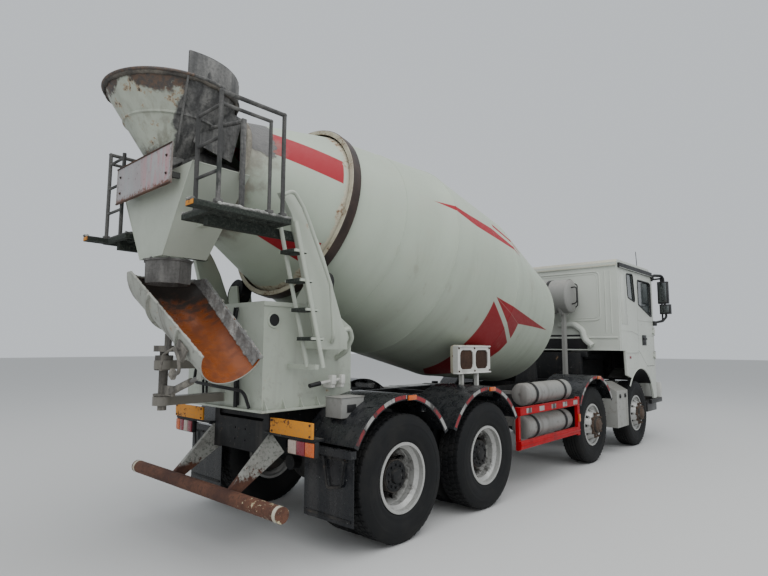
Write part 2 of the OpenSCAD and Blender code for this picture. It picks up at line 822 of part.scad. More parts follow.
module discharge_funnel() {
    x0 = ax4 - 1740;
    x1 = ax4 - 1180;
    z0 = 2380;
    z1 = 3050;
    low_y = 200;
    top_y = 620;
    t = plate_t;
    hang_z = platform_z - 46;
    // Outer face of the funnel's side at a height
    function wall_y(z) = low_y + (top_y - low_y) * (z - z0) / (z1 - z0);
    color([0.78, 0.8, 0.76]) {
        difference() {
            along([[-low_y, z0], [low_y, z0], [top_y, z1], [-top_y, z1]], x0, x1);
            along([[-low_y + t, z0 - 1], [low_y - t, z0 - 1], [top_y - t, z1 + 1], [-top_y + t, z1 + 1]],
                x0 + t, x1 + 1);
            across([[x1 + 1, z0 - 1], [x1 + 1, z1 + 1], [x1 - 60, z1 + 1], [x1 - 180, z0 - 1]],
                -top_y - 10, top_y + 10);
        }
        // Hangers from the funnel's sides to the platforms
        both() along([[wall_y(hang_z) - t / 2, hang_z], [platform_y0 - air_gap, hang_z],
            [platform_y0 - air_gap, hang_z + 40], [wall_y(hang_z + 40) - t / 2, hang_z + 40]],
            x0 + 200, x0 + 260);
        translate([swivel_x, 0, collar_z]) difference() {
            cylinder(h = z0 - collar_z, r = collar_r, $fn = 8);
            translate([0, 0, -1]) cylinder(h = z0 - collar_z + 2, r = collar_r - t, $fn = 8);
        }
    }
}

module charging_hopper() {
    t = plate_t;
    rim_r = 14;
    spout_to = [ring_x - cos(drum_tilt) * (mouth_l - 150), 0, ring_z + 90];
    spout_from = [hopper_x + 40, 0, hopper_z - hopper_d + 40];
    post_x = ax4 - 1320;
    post_y = platform_y0 + 122;
    arm_z = hopper_z - hopper_d / 2;
    color([0.6, 0.6, 0.56]) {
        difference() {
            union() {
                translate([hopper_x, 0, hopper_z - hopper_d])
                    cylinder(h = hopper_d, r1 = throat_r, r2 = hopper_r - rim_r);
                translate([hopper_x, 0, hopper_z]) rotate_extrude()
                    translate([hopper_r - rim_r, 0]) circle(r = rim_r, $fn = 24);
                rod(spout_from, spout_to, throat_r);
                hopper_hood();
                // Posts on the platforms, each with an arm to the cone
                both() {
                    box([post_x - 20, post_y, platform_z + air_gap],
                        [post_x + 20, post_y + 24, arm_z + 20]);
                    rod([post_x, post_y + 12, arm_z], [hopper_x + 120, 120, arm_z], tube_r);
                }
                intersection() {
                    translate([hopper_x, 0, hopper_z - 10])
                        cylinder(h = splash_h + 10, r = hopper_r - rim_r);
                    box([hopper_x - 130, -hopper_r, hopper_z - 20],
                        [hopper_x + hopper_r, hopper_r, hopper_z + splash_h]);
                }
            }
            translate([hopper_x, 0, hopper_z - hopper_d - 0.5])
                cylinder(h = hopper_d + 1, r1 = throat_r - t, r2 = hopper_r - rim_r - t);
            translate([hopper_x, 0, hopper_z])
                cylinder(h = splash_h + 10, r = hopper_r - rim_r - t);
            rod(spout_from, spout_to + (spout_to - spout_from) * 0.1, throat_r - t);
        }
    }
}

// The hood from the hopper's cone to the drum's mouth, open below and at its ends
module hopper_hood() {
    y = 300;
    rise = 430;
    s0 = mouth_l + 15;
    s1 = mouth_l + 380;
    on_drum() difference() {
        box([-rise, -y, -s1], [0, y, -s0]);
        box([plate_t - rise, plate_t - y, -s1 - 1], [1, y - plate_t, 1 - s0]);
    }
}

// The chute's own frame: origin on the swivel axis, X along the chute's direction
module on_chute() {
    translate([swivel_x, 0, 0]) rotate([0, 0, -90 + chute_turn]) children();
}

module chute_swivel() {
    saddle_z = chute_pin_z - 120;
    color([0.35, 0.3, 0.26]) on_chute() {
        translate([0, 0, ring_low_z - 40]) cylinder(h = saddle_z + 20 - ring_low_z + 40, r = post_r);
        translate([0, 0, ring_high_z + bearing_h + air_gap]) cylinder(h = 40, r = 70);
        box([-60, -62, saddle_z], [chute_pin_s + 40, 62, saddle_z + 50]);
        for (s = [-1, 1]) box([chute_pin_s - 40, s * 51 - 10, saddle_z + 49],
            [chute_pin_s + 40, s * 51 + 10, chute_pin_z + 24]);
        translate([chute_pin_s, 0, chute_pin_z]) rotate([90, 0, 0])
            cylinder(h = 122, r = jack_pin_r, center = true);
        difference() {
            box([post_r - 5, -12, jack_z - 40], [jack_s + 30, 12, jack_z + 40]);
            translate([jack_s, 0, jack_z]) rotate([90, 0, 0])
                cylinder(h = 40, r = jack_pin_r + fit_gap, center = true);
        }
    }
}

// Underside of the chute's trough at a distance from the swivel axis
function trough_low(s) = chute_z - (s - chute_start) * tan(chute_slope)
    - (chute_wide + (chute_lip - chute_wide) * (s - chute_start) / (chute_l * cos(chute_slope)))
    / cos(chute_slope);

module chute() {
    color([0.6, 0.33, 0.12]) on_chute() difference() {
        union() {
            translate([chute_start, 0, chute_z]) trough();
            box([chute_pin_s - 32, -35, chute_pin_z - 32], [chute_pin_s + 32, 35, chute_pin_z + 74]);
            // Ears for the jack's rod
            for (s = [-1, 1]) box([jack_eye_s - 30, s * 27 - 8, jack_eye_z - 30],
                [jack_eye_s + 30, s * 27 + 8, trough_low(jack_eye_s - 30) + plate_t]);
        }
        translate([chute_pin_s, 0, chute_pin_z]) rotate([90, 0, 0])
            cylinder(h = 200, r = jack_pin_r + fit_gap, center = true);
    }
}

// Half section of a closed tube with a round end, by its radii at that end and at the lip
function round_end(wide, lip) = concat([for (a = [-90 : 7.5 : 0]) [wide * cos(a), wide * sin(a)]],
    [[lip, chute_l]]);

// The chute's shell: a tapering half pipe with a round back end, cut off level behind its start
module trough() {
    t = plate_t;
    outer = round_end(chute_wide, chute_lip);
    inner = round_end(chute_wide - t, chute_lip - t);
    far = chute_l + 50;
    deep = -2 * chute_wide;
    intersection() {
        rotate([0, 90 + chute_slope, 0]) rotate_extrude()
            polygon(concat(outer, [for (i = [len(inner) - 1 : -1 : 0]) inner[i]]));
        across([[deep, 0], [0, 0], [far * cos(chute_slope), -far * sin(chute_slope)],
            [far * cos(chute_slope), deep - far], [deep, deep - far]],
            -chute_wide - 1, chute_wide + 1);
    }
}

jack_pin_r = 18;
jack_angle = atan2(jack_eye_z - jack_z, jack_eye_s - jack_s);
jack_l = norm([jack_eye_s - jack_s, jack_eye_z - jack_z]);
jack_tube_l = 290;
jack_rod_r = 16;

// The jack's own frame: origin at its lower pin, X along its rod
module on_jack() {
    on_chute() translate([jack_s, 0, jack_z]) rotate([0, -jack_angle, 0]) children();
}

module chute_jack() {
    color([0.4, 0.25, 0.18]) on_jack() {
        difference() {
            translate([60, 0, 0]) rotate([0, 90, 0]) cylinder(h = jack_tube_l - 60, r = jack_r);
            translate([66, 0, 0]) rotate([0, 90, 0]) cylinder(h = jack_tube_l, r = jack_rod_r + fit_gap);
        }
        for (s = [-1, 1]) box([-22, s * 20 - 6, -22], [66, s * 20 + 6, 22]);
        rotate([90, 0, 0]) cylinder(h = 52, r = jack_pin_r, center = true);
    }
}

module chute_rod() {
    color([0.5, 0.48, 0.45]) on_jack() {
        translate([jack_l - 320, 0, 0]) rotate([0, 90, 0]) cylinder(h = 320 - 20, r = jack_rod_r);
        difference() {
            translate([jack_l, 0, 0]) rotate([90, 0, 0]) cylinder(h = 24, r = 26, center = true);
            translate([jack_l, 0, 0]) rotate([90, 0, 0]) cylinder(h = 30, r = 12, center = true);
        }
    }
}

// Side view outline of the cab above its floor, grown outwards
module cab_outline(grow) {
    polygon([[cx0 - grow, cab_floor - grow], [cx0 - grow, cab_top - 40 + grow],
        [cx0 + 40, cab_top + grow], [ax1 + 900, cab_top + grow],
        [ax1 + 1060 + grow, cab_top - 90 + grow], [ax1 + 1240 + grow, 2000],
        [cx1 + grow, 1900], [cx1 + grow, cab_floor - grow]]);
}

module cab_plan() {
    corner = 220;
    y = cab_y;
    polygon([[cx0 - 10, -y], [cx1 - corner, -y], [cx1 - 60, -y + 80], [cx1 + 10, -y + corner],
        [cx1 + 10, y - corner], [cx1 - 60, y - 80], [cx1 - corner, y], [cx0 - 10, y]]);
}

// The cab's solid form before it is hollowed
module cab_block() {
    intersection() {
        union() {
            translate([0, cab_y, 0]) rotate([90, 0, 0]) linear_extrude(cab_w) cab_outline(0);
            translate([0, cab_y, 0]) rotate([90, 0, 0]) linear_extrude(cab_w) difference() {
                polygon([[cx0 + 245, cab_floor + 1], [cx1, cab_floor + 1], [cx1, tilt_z - 90],
                    [ax1 + 1130, tilt_z - 90], [ax1 + 1130, 735], [arch_x, 735], [ax1 - 210, 1135],
                    [cx0 + 285, 1200]]);
                translate([arch_x, arch_z]) circle(r = arch_r, $fn = 160);
            }
        }
        linear_extrude(4000) cab_plan();
    }
}

module cab_hollow() {
    intersection() {
        translate([0, cab_in, 0]) rotate([90, 0, 0]) linear_extrude(2 * cab_in) cab_outline(-cab_t);
        linear_extrude(4000) translate([-cab_t, 0]) cab_plan();
    }
}

// Outline of the right door in side view, grown by a gap
module door_outline(grow) {
    polygon([[door_x0 - grow, door_z0 + 280 - grow], [door_x0 - grow, door_z1 + grow],
        [door_x1 - 60 + grow / 2, door_z1 + grow], [door_x1 + grow, door_z1 - 60],
        [door_x1 + grow, door_z0 - grow], [door_x0 + 430, door_z0 - grow]]);
}

module door_window() {
    polygon([[door_x0 + 60, 2430], [door_x0 + 60, door_z1 - 115], [door_x1 - 110, door_z1 - 115],
        [door_x1 - 70, door_z1 - 155], [door_x1 - 70, 2230]]);
}

module quarter_window() {
    polygon([[ax1 - 310, 2520], [ax1 - 350, 2925], [ax1 - 20, 2945], [ax1 + 60, 2455]]);
}

module side_cut(y0, y1) {
    both() translate([0, y1, 0]) rotate([90, 0, 0]) linear_extrude(y1 - y0) children();
}

module windscreen_cut() {
    low_y = cab_y - 200;
    top_y = cab_y - 270;
    along([[-low_y, 2060], [low_y, 2060], [top_y, cab_top - 180], [-top_y, cab_top - 180]],
        ax1 + 950, ax1 + 1400);
}

module cab_shell() {
    beam_y0 = 300;
    beam_y1 = 335;
    color([0.82, 0.83, 0.8]) difference() {
        union() {
            difference() {
                cab_block();
                cab_hollow();
                // Open underneath, between the skirts
                box([cx0 - 10, -cab_y + skirt_t, 700], [cx1 - cab_t, cab_y - skirt_t, cab_floor]);
            }
            // Ledge of the roof's cap over the rear wall
            box([cx0 - 25, 20 - cab_y, cab_top - 105], [cx0 + 1, cab_y - 20, cab_top - 45]);
            both() across([[cx0 + 60, cab_floor + 1], [cx0 + 60, cab_floor - 80],
                [tilt_x - 160, cab_floor - 80], [tilt_x - 60, tilt_z - 50], [tilt_x + 60, tilt_z - 50],
                [tilt_x + 60, cab_floor + 1]], beam_y0, beam_y1);
        }
        side_cut(cab_in - 200, cab_y + 10) door_outline(door_gap);
        side_cut(cab_in - 200, cab_y + 10) quarter_window();
        windscreen_cut();
        translate([tilt_x, 0, tilt_z]) rotate([90, 0, 0])
            cylinder(h = cab_w, r = tilt_r + fit_gap, center = true);
    }
    color([0.82, 0.83, 0.8]) both() for (z = hinge_heights) {
        translate([hinge_x, hinge_y, z - 60]) cylinder(h = 120, r = hinge_r);
        for (s = [-60, 30]) {
            translate([hinge_x, hinge_y, z + s]) cylinder(h = 30, r = hinge_r + 6);
            box([hinge_x, cab_y - 1, z + s], [hinge_x + 40, hinge_y + 6, z + s + 30]);
        }
    }
}

// Heights of a door's two hinges
hinge_heights = [1520, 1960];

module door_solid() {
    difference() {
        intersection() {
            cab_block();
            translate([0, cab_y + 5, 0]) rotate([90, 0, 0]) linear_extrude(cab_t + 5)
                door_outline(0);
        }
        translate([0, cab_y + 10, 0]) rotate([90, 0, 0]) linear_extrude(300) door_window();
    }
    for (z = hinge_heights) difference() {
        union() {
            translate([hinge_x, hinge_y, z - 29]) cylinder(h = 58, r = hinge_r + 6);
            box([door_x1 - 40, cab_y - 1, z - 29], [door_x1, hinge_y + 6, z + 29]);
            box([door_x1 - 1, cab_y + air_gap, z - 29], [hinge_x, hinge_y + 6, z + 29]);
        }
        translate([hinge_x, hinge_y, z - 30]) cylinder(h = 60, r = hinge_r + fit_gap);
    }
}

module door_glass_solid() {
    intersection() {
        cab_block();
        translate([0, cab_y - 18, 0]) rotate([90, 0, 0]) linear_extrude(glass_t) door_window();
    }
}

module door_left() { color([0.82, 0.83, 0.8]) door_solid(); }
module door_right() { color([0.82, 0.83, 0.8]) mirror([0, 1, 0]) door_solid(); }
module door_glass_left() { color([0.1, 0.12, 0.13, 0.6]) door_glass_solid(); }
module door_glass_right() { color([0.1, 0.12, 0.13, 0.6]) mirror([0, 1, 0]) door_glass_solid(); }

module cab_glass() {
    color([0.1, 0.12, 0.13, 0.6]) {
        intersection() {
            windscreen_cut();
            difference() {
                translate([0, cab_y, 0]) rotate([90, 0, 0]) linear_extrude(cab_w) cab_outline(-15);
                translate([0, cab_y, 0]) rotate([90, 0, 0]) linear_extrude(cab_w)
                    cab_outline(-15 - glass_t);
            }
            box([ax1 + 1000, -cab_y, 2000], [cx1, cab_y, cab_top - 150]);
        }
        both() translate([0, cab_y - 18, 0]) rotate([90, 0, 0]) linear_extrude(glass_t)
            quarter_window();
    }
}

module cab_inside() {
    floor_top = cab_floor + cab_t;
    seat_y1 = cab_in - 120;
    seat_y0 = seat_y1 - 500;
    dash_y = cab_in - 100;
    wheel = [ax1 + 700, (seat_y0 + seat_y1) / 2, floor_top + 480];
    color([0.15, 0.15, 0.16]) {
        both() {
            box([ax1 - 150, seat_y0, floor_top], [ax1 + 300, seat_y1, floor_top + 350]);
            box([ax1 - 200, seat_y0, floor_top + 349], [ax1 - 60, seat_y1, floor_top + 1050]);
        }
        box([ax1 + 820, -dash_y, floor_top], [ax1 + 1120, dash_y, floor_top + 330]);
        translate(wheel) rotate([0, 60, 0]) rotate_extrude()
            translate([220, 0]) circle(r = 15, $fn = 24);
        rod(wheel, wheel + [200, 0, -180], 25);
    }
}

module cab_grille() {
    visor_x = ax1 + 1060 + 2 * air_gap;
    color([0.1, 0.1, 0.1]) {
        box([cx1 + air_gap, 400 - cab_y, tilt_z - 60], [cx1 + 25, cab_y - 400, 1850]);
        across([[visor_x, cab_top - 90], [visor_x + 24, cab_top - 220], [visor_x + 175, cab_top - 260],
            [visor_x + 60, cab_top - 60]], 200 - cab_y, cab_y - 200);
        // Trim along the roof's side edges
        both() box([cx0 + 20, cab_y + air_gap, cab_top - 135], [door_x1, cab_y + 35, cab_top - 55]);
    }
}

module mirrors() {
    x = ax1 + 1290;
    arm_x = door_x1 + 22;
    head_y = cab_y + 100;
    low_y = cab_y + 18;
    color([0.08, 0.08, 0.08]) both() {
        box([x, cab_y + 40, 2500], [x + 80, cab_y + 225, 2925]);
        box([x, cab_y + 65, 2300], [x + 80, cab_y + 255, 2485]);
        for (z = [2950, 2130]) box([arm_x, cab_y + air_gap, z - 30], [arm_x + 40, cab_y + 30, z + 30]);
        rod([arm_x + 20, low_y, 2950], [x + 40, head_y, 2990], 17);
        rod([arm_x + 20, low_y, 2130], [x + 40, head_y, 2180], 16);
        rod([x + 40, head_y, 3010], [x + 40, head_y, 2910], 18);
        rod([x + 40, head_y, 2310], [x + 40, head_y, 2170], 16);
        rod([x + 40, head_y, 2510], [x + 40, head_y, 2475], 16);
    }
}

// Half of a symmetric outline in (radius, width), joined with its mirror image
function mirrored(points) = concat(points, [for (i = [len(points) - 1 : -1 : 0])
    [points[i].x, -points[i].y]]);

module tyre_ring() {
    w = tyre_w / 2;
    rotate_extrude($fn = 128) polygon(mirrored([[bead_r, -rim_w / 2 + 3],
        [bead_r + 15, -rim_w / 2 + 3], [bead_r + 17, -rim_w / 2 - 8], [bead_r + 60, -w + 8],
        [bead_r + 140, -w], [tyre_r - 60, -w + 5], [tyre_r - 25, -w + 18], [tyre_r, -w + 38]]));
}

// A rim with its disc towards +Z
module rim_ring() {
    hw = rim_w / 2;
    seat = bead_r - air_gap;
    rotate_extrude($fn = 128) polygon([[seat, -hw], [rim_lip_r, -hw], [rim_lip_r, -hw - 8],
        [seat - rim_t, -hw - 8], [seat - rim_t, -hw + 40], [drop_r - rim_t, -hw + 70],
        [drop_r - rim_t, hw - 50], [seat - rim_t, hw - 25], [seat - rim_t, hw + 8],
        [rim_lip_r, hw + 8], [rim_lip_r, hw], [seat, hw], [seat, hw - 30], [drop_r, hw - 60],
        [drop_r, -hw + 80], [seat, -hw + 50]]);
    difference() {
        rotate_extrude($fn = 128) polygon([[drop_r - 2, 20], [drop_r - 2, 45],
            [180, disc_offset], [60, disc_offset], [60, disc_offset - disc_t],
            [172, disc_offset - disc_t], [drop_r - rim_t - 6, 20]]);
        for (i = [0 : hand_holes - 1]) rotate([0, 0, i * 360 / hand_holes])
            translate([drop_r - 42, 0, 0]) cylinder(h = 300, r = 24);
    }
}

module tyre_front(x) {
    color([0.05, 0.05, 0.05]) translate([x, front_y, tyre_r]) rotate([-90, 0, 0]) tyre_ring();
}

module tyre_rear(x) {
    color([0.05, 0.05, 0.05]) for (y = [inner_y, rear_y])
        translate([x, y, tyre_r]) rotate([-90, 0, 0]) tyre_ring();
}

module rim_front(x) {
    drum_y0 = kingpin_y + knuckle_reach + 25;
    color([0.7, 0.7, 0.7]) translate([x, 0, tyre_r]) difference() {
        union() {
            translate([0, front_y, 0]) rotate([-90, 0, 0]) rim_ring();
            translate([0, drum_y0, 0]) rotate([-90, 0, 0]) cylinder(h = 150, r = brake_r);
            translate([0, drum_y0, 0]) rotate([-90, 0, 0])
                cylinder(h = front_y + disc_offset + 45 - drum_y0, r = front_hub_r);
        }
        translate([0, drum_y0 - 1, 0]) rotate([-90, 0, 0])
            cylinder(h = front_y + disc_offset - 20 - drum_y0, r = front_spindle_r + fit_gap);
    }
}

module rim_rear(x) {
    mid = rear_y - disc_offset;
    color([0.7, 0.7, 0.7]) translate([x, 0, tyre_r]) difference() {
        union() {
            translate([0, rear_y, 0]) rotate([90, 0, 0]) rim_ring();
            translate([0, inner_y, 0]) rotate([-90, 0, 0]) rim_ring();
            translate([0, brake_in, 0]) rotate([-90, 0, 0]) cylinder(h = 200, r = brake_r);
            translate([0, brake_in, 0]) rotate([-90, 0, 0])
                cylinder(h = mid + 190 - brake_in, r = rear_hub_r);
        }
        translate([0, brake_in - 1, 0]) rotate([-90, 0, 0])
            cylinder(h = rear_y + 20 - brake_in, r = rear_spindle_r + fit_gap);
    }
}

module tyre_1l() { tyre_front(ax1); }
module tyre_1r() { mirror([0, 1, 0]) tyre_front(ax1); }
module tyre_2l() { tyre_front(ax2); }
module tyre_2r() { mirror([0, 1, 0]) tyre_front(ax2); }
module tyre_3l() { tyre_rear(ax3); }
module tyre_3r() { mirror([0, 1, 0]) tyre_rear(ax3); }
module tyre_4l() { tyre_rear(ax4); }
module tyre_4r() { mirror([0, 1, 0]) tyre_rear(ax4); }
module rim_1l() { rim_front(ax1); }
module rim_1r() { mirror([0, 1, 0]) rim_front(ax1); }
module rim_2l() { rim_front(ax2); }
module rim_2r() { mirror([0, 1, 0]) rim_front(ax2); }
module rim_3l() { rim_rear(ax3); }
module rim_3r() { mirror([0, 1, 0]) rim_rear(ax3); }
module rim_4l() { rim_rear(ax4); }
module rim_4r() { mirror([0, 1, 0]) rim_rear(ax4); }

frame();
subframe();
springs();
steer_axles();
drive_axles();
powertrain();
front_bumper();
mudguards();
side_guards();
air_tanks();
fuel_tank();
step_boxes();
underrun_bar();
rear_lamps();
drum_drive();
water_tank();
rear_pedestal();
platforms();
ladder();
number_board();
discharge_funnel();
charging_hopper();
drum();
drum_ring();
drum_hatch();
roller_right();
roller_left();
chute_swivel();
chute();
chute_jack();
chute_rod();
cab_shell();
cab_glass();
cab_inside();
cab_grille();
mirrors();
door_right();
door_left();
door_glass_right();
door_glass_left();
knuckle_1r();
knuckle_1l();
knuckle_2r();
knuckle_2l();
tyre_1r();
tyre_1l();
tyre_2r();
tyre_2l();
tyre_3r();
tyre_3l();
tyre_4r();
tyre_4l();
rim_1r();
rim_1l();
rim_2r();
rim_2l();
rim_3r();
rim_3l();
rim_4r();
rim_4l();
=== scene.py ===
"""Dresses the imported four-axle concrete mixer truck: finishes, worked pieces, light and camera."""

import json
import logging
import math
from collections.abc import Callable, Iterable, Iterator, Sequence
from contextlib import contextmanager
from dataclasses import dataclass, field
from enum import Enum

import bmesh
import bpy
from mathutils import Matrix, Vector

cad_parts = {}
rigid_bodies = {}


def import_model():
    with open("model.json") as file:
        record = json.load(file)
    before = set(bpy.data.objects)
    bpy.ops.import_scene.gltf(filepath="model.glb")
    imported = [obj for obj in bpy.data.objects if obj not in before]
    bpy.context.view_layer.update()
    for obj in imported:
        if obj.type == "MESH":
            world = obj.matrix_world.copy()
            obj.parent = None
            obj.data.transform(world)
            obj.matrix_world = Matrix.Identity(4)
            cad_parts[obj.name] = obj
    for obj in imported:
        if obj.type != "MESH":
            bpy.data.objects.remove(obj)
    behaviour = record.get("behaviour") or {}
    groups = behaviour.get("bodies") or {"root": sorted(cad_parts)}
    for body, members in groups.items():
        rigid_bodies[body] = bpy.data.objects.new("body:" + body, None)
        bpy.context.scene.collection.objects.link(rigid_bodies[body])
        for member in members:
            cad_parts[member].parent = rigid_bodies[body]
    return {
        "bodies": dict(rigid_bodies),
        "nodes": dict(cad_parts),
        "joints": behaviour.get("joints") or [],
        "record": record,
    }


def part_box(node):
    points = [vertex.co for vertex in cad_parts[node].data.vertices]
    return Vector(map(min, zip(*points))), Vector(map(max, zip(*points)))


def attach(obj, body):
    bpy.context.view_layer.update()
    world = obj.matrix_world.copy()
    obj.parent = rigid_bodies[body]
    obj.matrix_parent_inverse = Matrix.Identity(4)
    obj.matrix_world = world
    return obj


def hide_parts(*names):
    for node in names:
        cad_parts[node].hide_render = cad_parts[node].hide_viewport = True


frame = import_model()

LOG = logging.getLogger("mixer_truck")
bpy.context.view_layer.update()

Colour = tuple[float, float, float]
Point = Sequence[float]
Socket = bpy.types.NodeSocket
Object = bpy.types.Object
Material = bpy.types.Material


class Bench:
    """The workbench: starts primitives, shapes them in edit mode and finishes them."""

    @staticmethod
    def clear() -> None:
        """Deselects everything."""
        bpy.ops.object.select_all(action="DESELECT")

    @staticmethod
    def take(piece: Object) -> Object:
        """Makes one piece the only selected and the active one."""
        Bench.clear()
        piece.select_set(True)
        bpy.context.view_layer.objects.active = piece
        return piece

    @staticmethod
    @contextmanager
    def editing(piece: Object, mode: str = "FACE") -> Iterator[None]:
        """Holds a piece in edit mode with nothing selected.

        Args:
            piece: the piece to edit.
            mode: what is selected, VERT, EDGE or FACE.
        """
        Bench.take(piece)
        bpy.ops.object.mode_set(mode="EDIT")
        bpy.ops.mesh.select_mode(type=mode)
        bpy.ops.mesh.select_all(action="DESELECT")
        yield
        bpy.ops.object.mode_set(mode="OBJECT")

    @staticmethod
    def select(piece: Object, test: Callable[[bmesh.types.BMFace], bool]) -> int:
        """Selects the faces of the piece in edit mode that pass a test.

        Args:
            piece: the piece in edit mode.
            test: says for one face whether it is wanted.

        Returns:
            How many faces are selected.
        """
        mesh = bmesh.from_edit_mesh(piece.data)
        count = 0
        for face in mesh.faces:
            wanted = bool(test(face))
            face.select_set(wanted)
            count += wanted
        mesh.select_flush(True)
        bmesh.update_edit_mesh(piece.data)
        return count

    @staticmethod
    def whole() -> None:
        """Selects all of the piece in edit mode."""
        bpy.ops.mesh.select_all(action="SELECT")

    @staticmethod
    def settle(piece: Object) -> Object:
        """Brings a piece's place into its mesh."""
        Bench.take(piece)
        bpy.ops.object.transform_apply(location=True, rotation=True, scale=True)
        return piece

    @staticmethod
    def block(name: str, low: Point, high: Point, bevel: float = 0.0, segments: int = 2) -> Object:
        """A box between two corners, its edges rounded.

        Args:
            name: the piece's name.
            low: its lowest corner.
            high: its highest corner.
            bevel: width of the rounding, none at 0.
            segments: steps in the rounding.

        Returns:
            The piece.
        """
        low, high = Vector(low), Vector(high)
        Bench.clear()
        bpy.ops.mesh.primitive_cube_add(size=1.0, location=(low + high) / 2, scale=high - low)
        piece = bpy.context.object
        piece.name = name
        Bench.settle(piece)
        if bevel:
            with Bench.editing(piece):
                Bench.whole()
                bpy.ops.mesh.bevel(offset=bevel, segments=segments, affect="EDGES")
        return piece

    @staticmethod
    def outline(name: str, points: Sequence[Point], rise: Point, bevel: float = 0.0) -> Object:
        """A plate with a drawn outline, pushed out to its thickness.

        Args:
            name: the piece's name.
            points: the outline's corners, in order round one flat face.
            rise: the way and the distance to push the face.
            bevel: width of the rounding of its edges, none at 0.

        Returns:
            The piece.
        """
        Bench.clear()
        bpy.ops.mesh.primitive_circle_add(vertices=len(points), radius=1.0, fill_type="NGON")
        piece = bpy.context.object
        piece.name = name
        for vertex, point in zip(piece.data.vertices, points):
            vertex.co = point
        with Bench.editing(piece):
            Bench.whole()
            bpy.ops.mesh.extrude_region_move(TRANSFORM_OT_translate={"value": Vector(rise)})
            Bench.whole()
            bpy.ops.mesh.normals_make_consistent(inside=False)
            if bevel:
                bpy.ops.mesh.bevel(offset=bevel, segments=2, affect="EDGES")
        return piece

    @staticmethod
    def bar(name: str, start: Point, end: Point, radius: float, sides: int = 16, tip: float | None = None) -> Object:
        """A round bar or cone between two points.

        Args:
            name: the piece's name.
            start: one end's centre.
            end: the other end's centre.
            radius: its radius at the start.
            sides: how many flats go round it.
            tip: its radius at the end, the same as the start's when left out.

        Returns:
            The piece.
        """
        start, end = Vector(start), Vector(end)
        way = end - start
        turn = way.to_track_quat("Z", "Y").to_euler()
        Bench.clear()
        bpy.ops.mesh.primitive_cone_add(vertices=sides, radius1=radius, radius2=radius if tip is None else tip,
            depth=way.length, location=(start + end) / 2, rotation=turn)
        piece = bpy.context.object
        piece.name = name
        return Bench.settle(piece)

    @staticmethod
    def turned(name: str, profile: Sequence[tuple[float, float]], steps: int, closed: bool = False) -> Object:
        """A shape turned about the X axis, as on a lathe.

        Args:
            name: the piece's name.
            profile: pairs of place along X and radius.
            steps: how many steps go round.
            closed: whether the profile's last point joins its first.

        Returns:
            The piece, with its faces pointing outwards.
        """
        Bench.clear()
        bpy.ops.mesh.primitive_circle_add(vertices=len(profile), radius=1.0, fill_type="NOTHING")
        piece = bpy.context.object
        piece.name = name
        for vertex, (along, radius) in zip(piece.data.vertices, profile):
            vertex.co = (along, 0.0, radius)
        with Bench.editing(piece, "EDGE"):
            if not closed:
                mesh = bmesh.from_edit_mesh(piece.data)
                mesh.verts.ensure_lookup_table()
                last = mesh.edges.get((mesh.verts[0], mesh.verts[len(profile) - 1]))
                last.select_set(True)
                bmesh.update_edit_mesh(piece.data)
                bpy.ops.mesh.delete(type="EDGE")
            Bench.whole()
            bpy.ops.mesh.spin(steps=steps, angle=2 * math.pi, center=(0, 0, 0), axis=(1, 0, 0))
            Bench.whole()
            bpy.ops.mesh.remove_doubles(threshold=0.00001)
            bpy.ops.mesh.dissolve_degenerate(threshold=0.000001)
            Bench.whole()
            bpy.ops.mesh.normals_make_consistent(inside=False)
        return piece

    @staticmethod
    def tube(name: str, points: Sequence[Point], radius: float, bend: float = 0.0, sides: int = 3) -> Object:
        """A bent tube through a row of points.

        Args:
            name: the piece's name.
            points: where its middle line goes.
            radius: its radius.
            bend: radius of its bends, sharp at 0.
            sides: bevel resolution of its round section.

        Returns:
            The piece as a mesh with closed ends.
        """
        route = round_route([Vector(p) for p in points], bend)
        line = bpy.data.curves.new(name, "CURVE")
        line.dimensions = "3D"
        line.bevel_depth = radius
        line.bevel_resolution = sides
        line.use_fill_caps = True
        spline = line.splines.new("POLY")
        spline.points.add(len(route) - 1)
        for spot, place in zip(spline.points, route):
            spot.co = (*place, 1.0)
        piece = bpy.data.objects.new(name, line)
        bpy.context.scene.collection.objects.link(piece)
        Bench.take(piece)
        bpy.ops.object.convert(target="MESH")
        return bpy.context.object

    @staticmethod
    def copy(piece: Object, place: Matrix, name: str = "copy") -> Object:
        """A copy with its own mesh, its new place in the mesh."""
        mesh = piece.data.copy()
        mesh.transform(place)
        if place.to_3x3().determinant() < 0:
            mesh.flip_normals()
        twin = bpy.data.objects.new(name, mesh)
        bpy.context.scene.collection.objects.link(twin)
        return twin

    @staticmethod
    def join(name: str, pieces: Iterable[Object]) -> Object:
        """Makes one piece of several."""
        pieces = list(pieces)
        Bench.take(pieces[0])
        for piece in pieces:
            piece.select_set(True)
        if len(pieces) > 1:
            bpy.ops.object.join()
        pieces[0].name = name
        return pieces[0]

    @staticmethod
    def drop(piece: Object) -> None:
        """Removes a piece that was only a pattern for copies."""
        bpy.data.objects.remove(piece)

    @staticmethod
    def modify(piece: Object, kind: str, **settings: object) -> Object:
        """Adds a modifier and applies it.

        Args:
            piece: the piece.
            kind: the modifier's type.
            settings: its settings by name.

        Returns:
            The piece.
        """
        Bench.take(piece)
        modifier = piece.modifiers.new(kind.lower(), kind)
        for key, value in settings.items():
            setattr(modifier, key, value)
        bpy.ops.object.modifier_apply(modifier=modifier.name)
        return piece

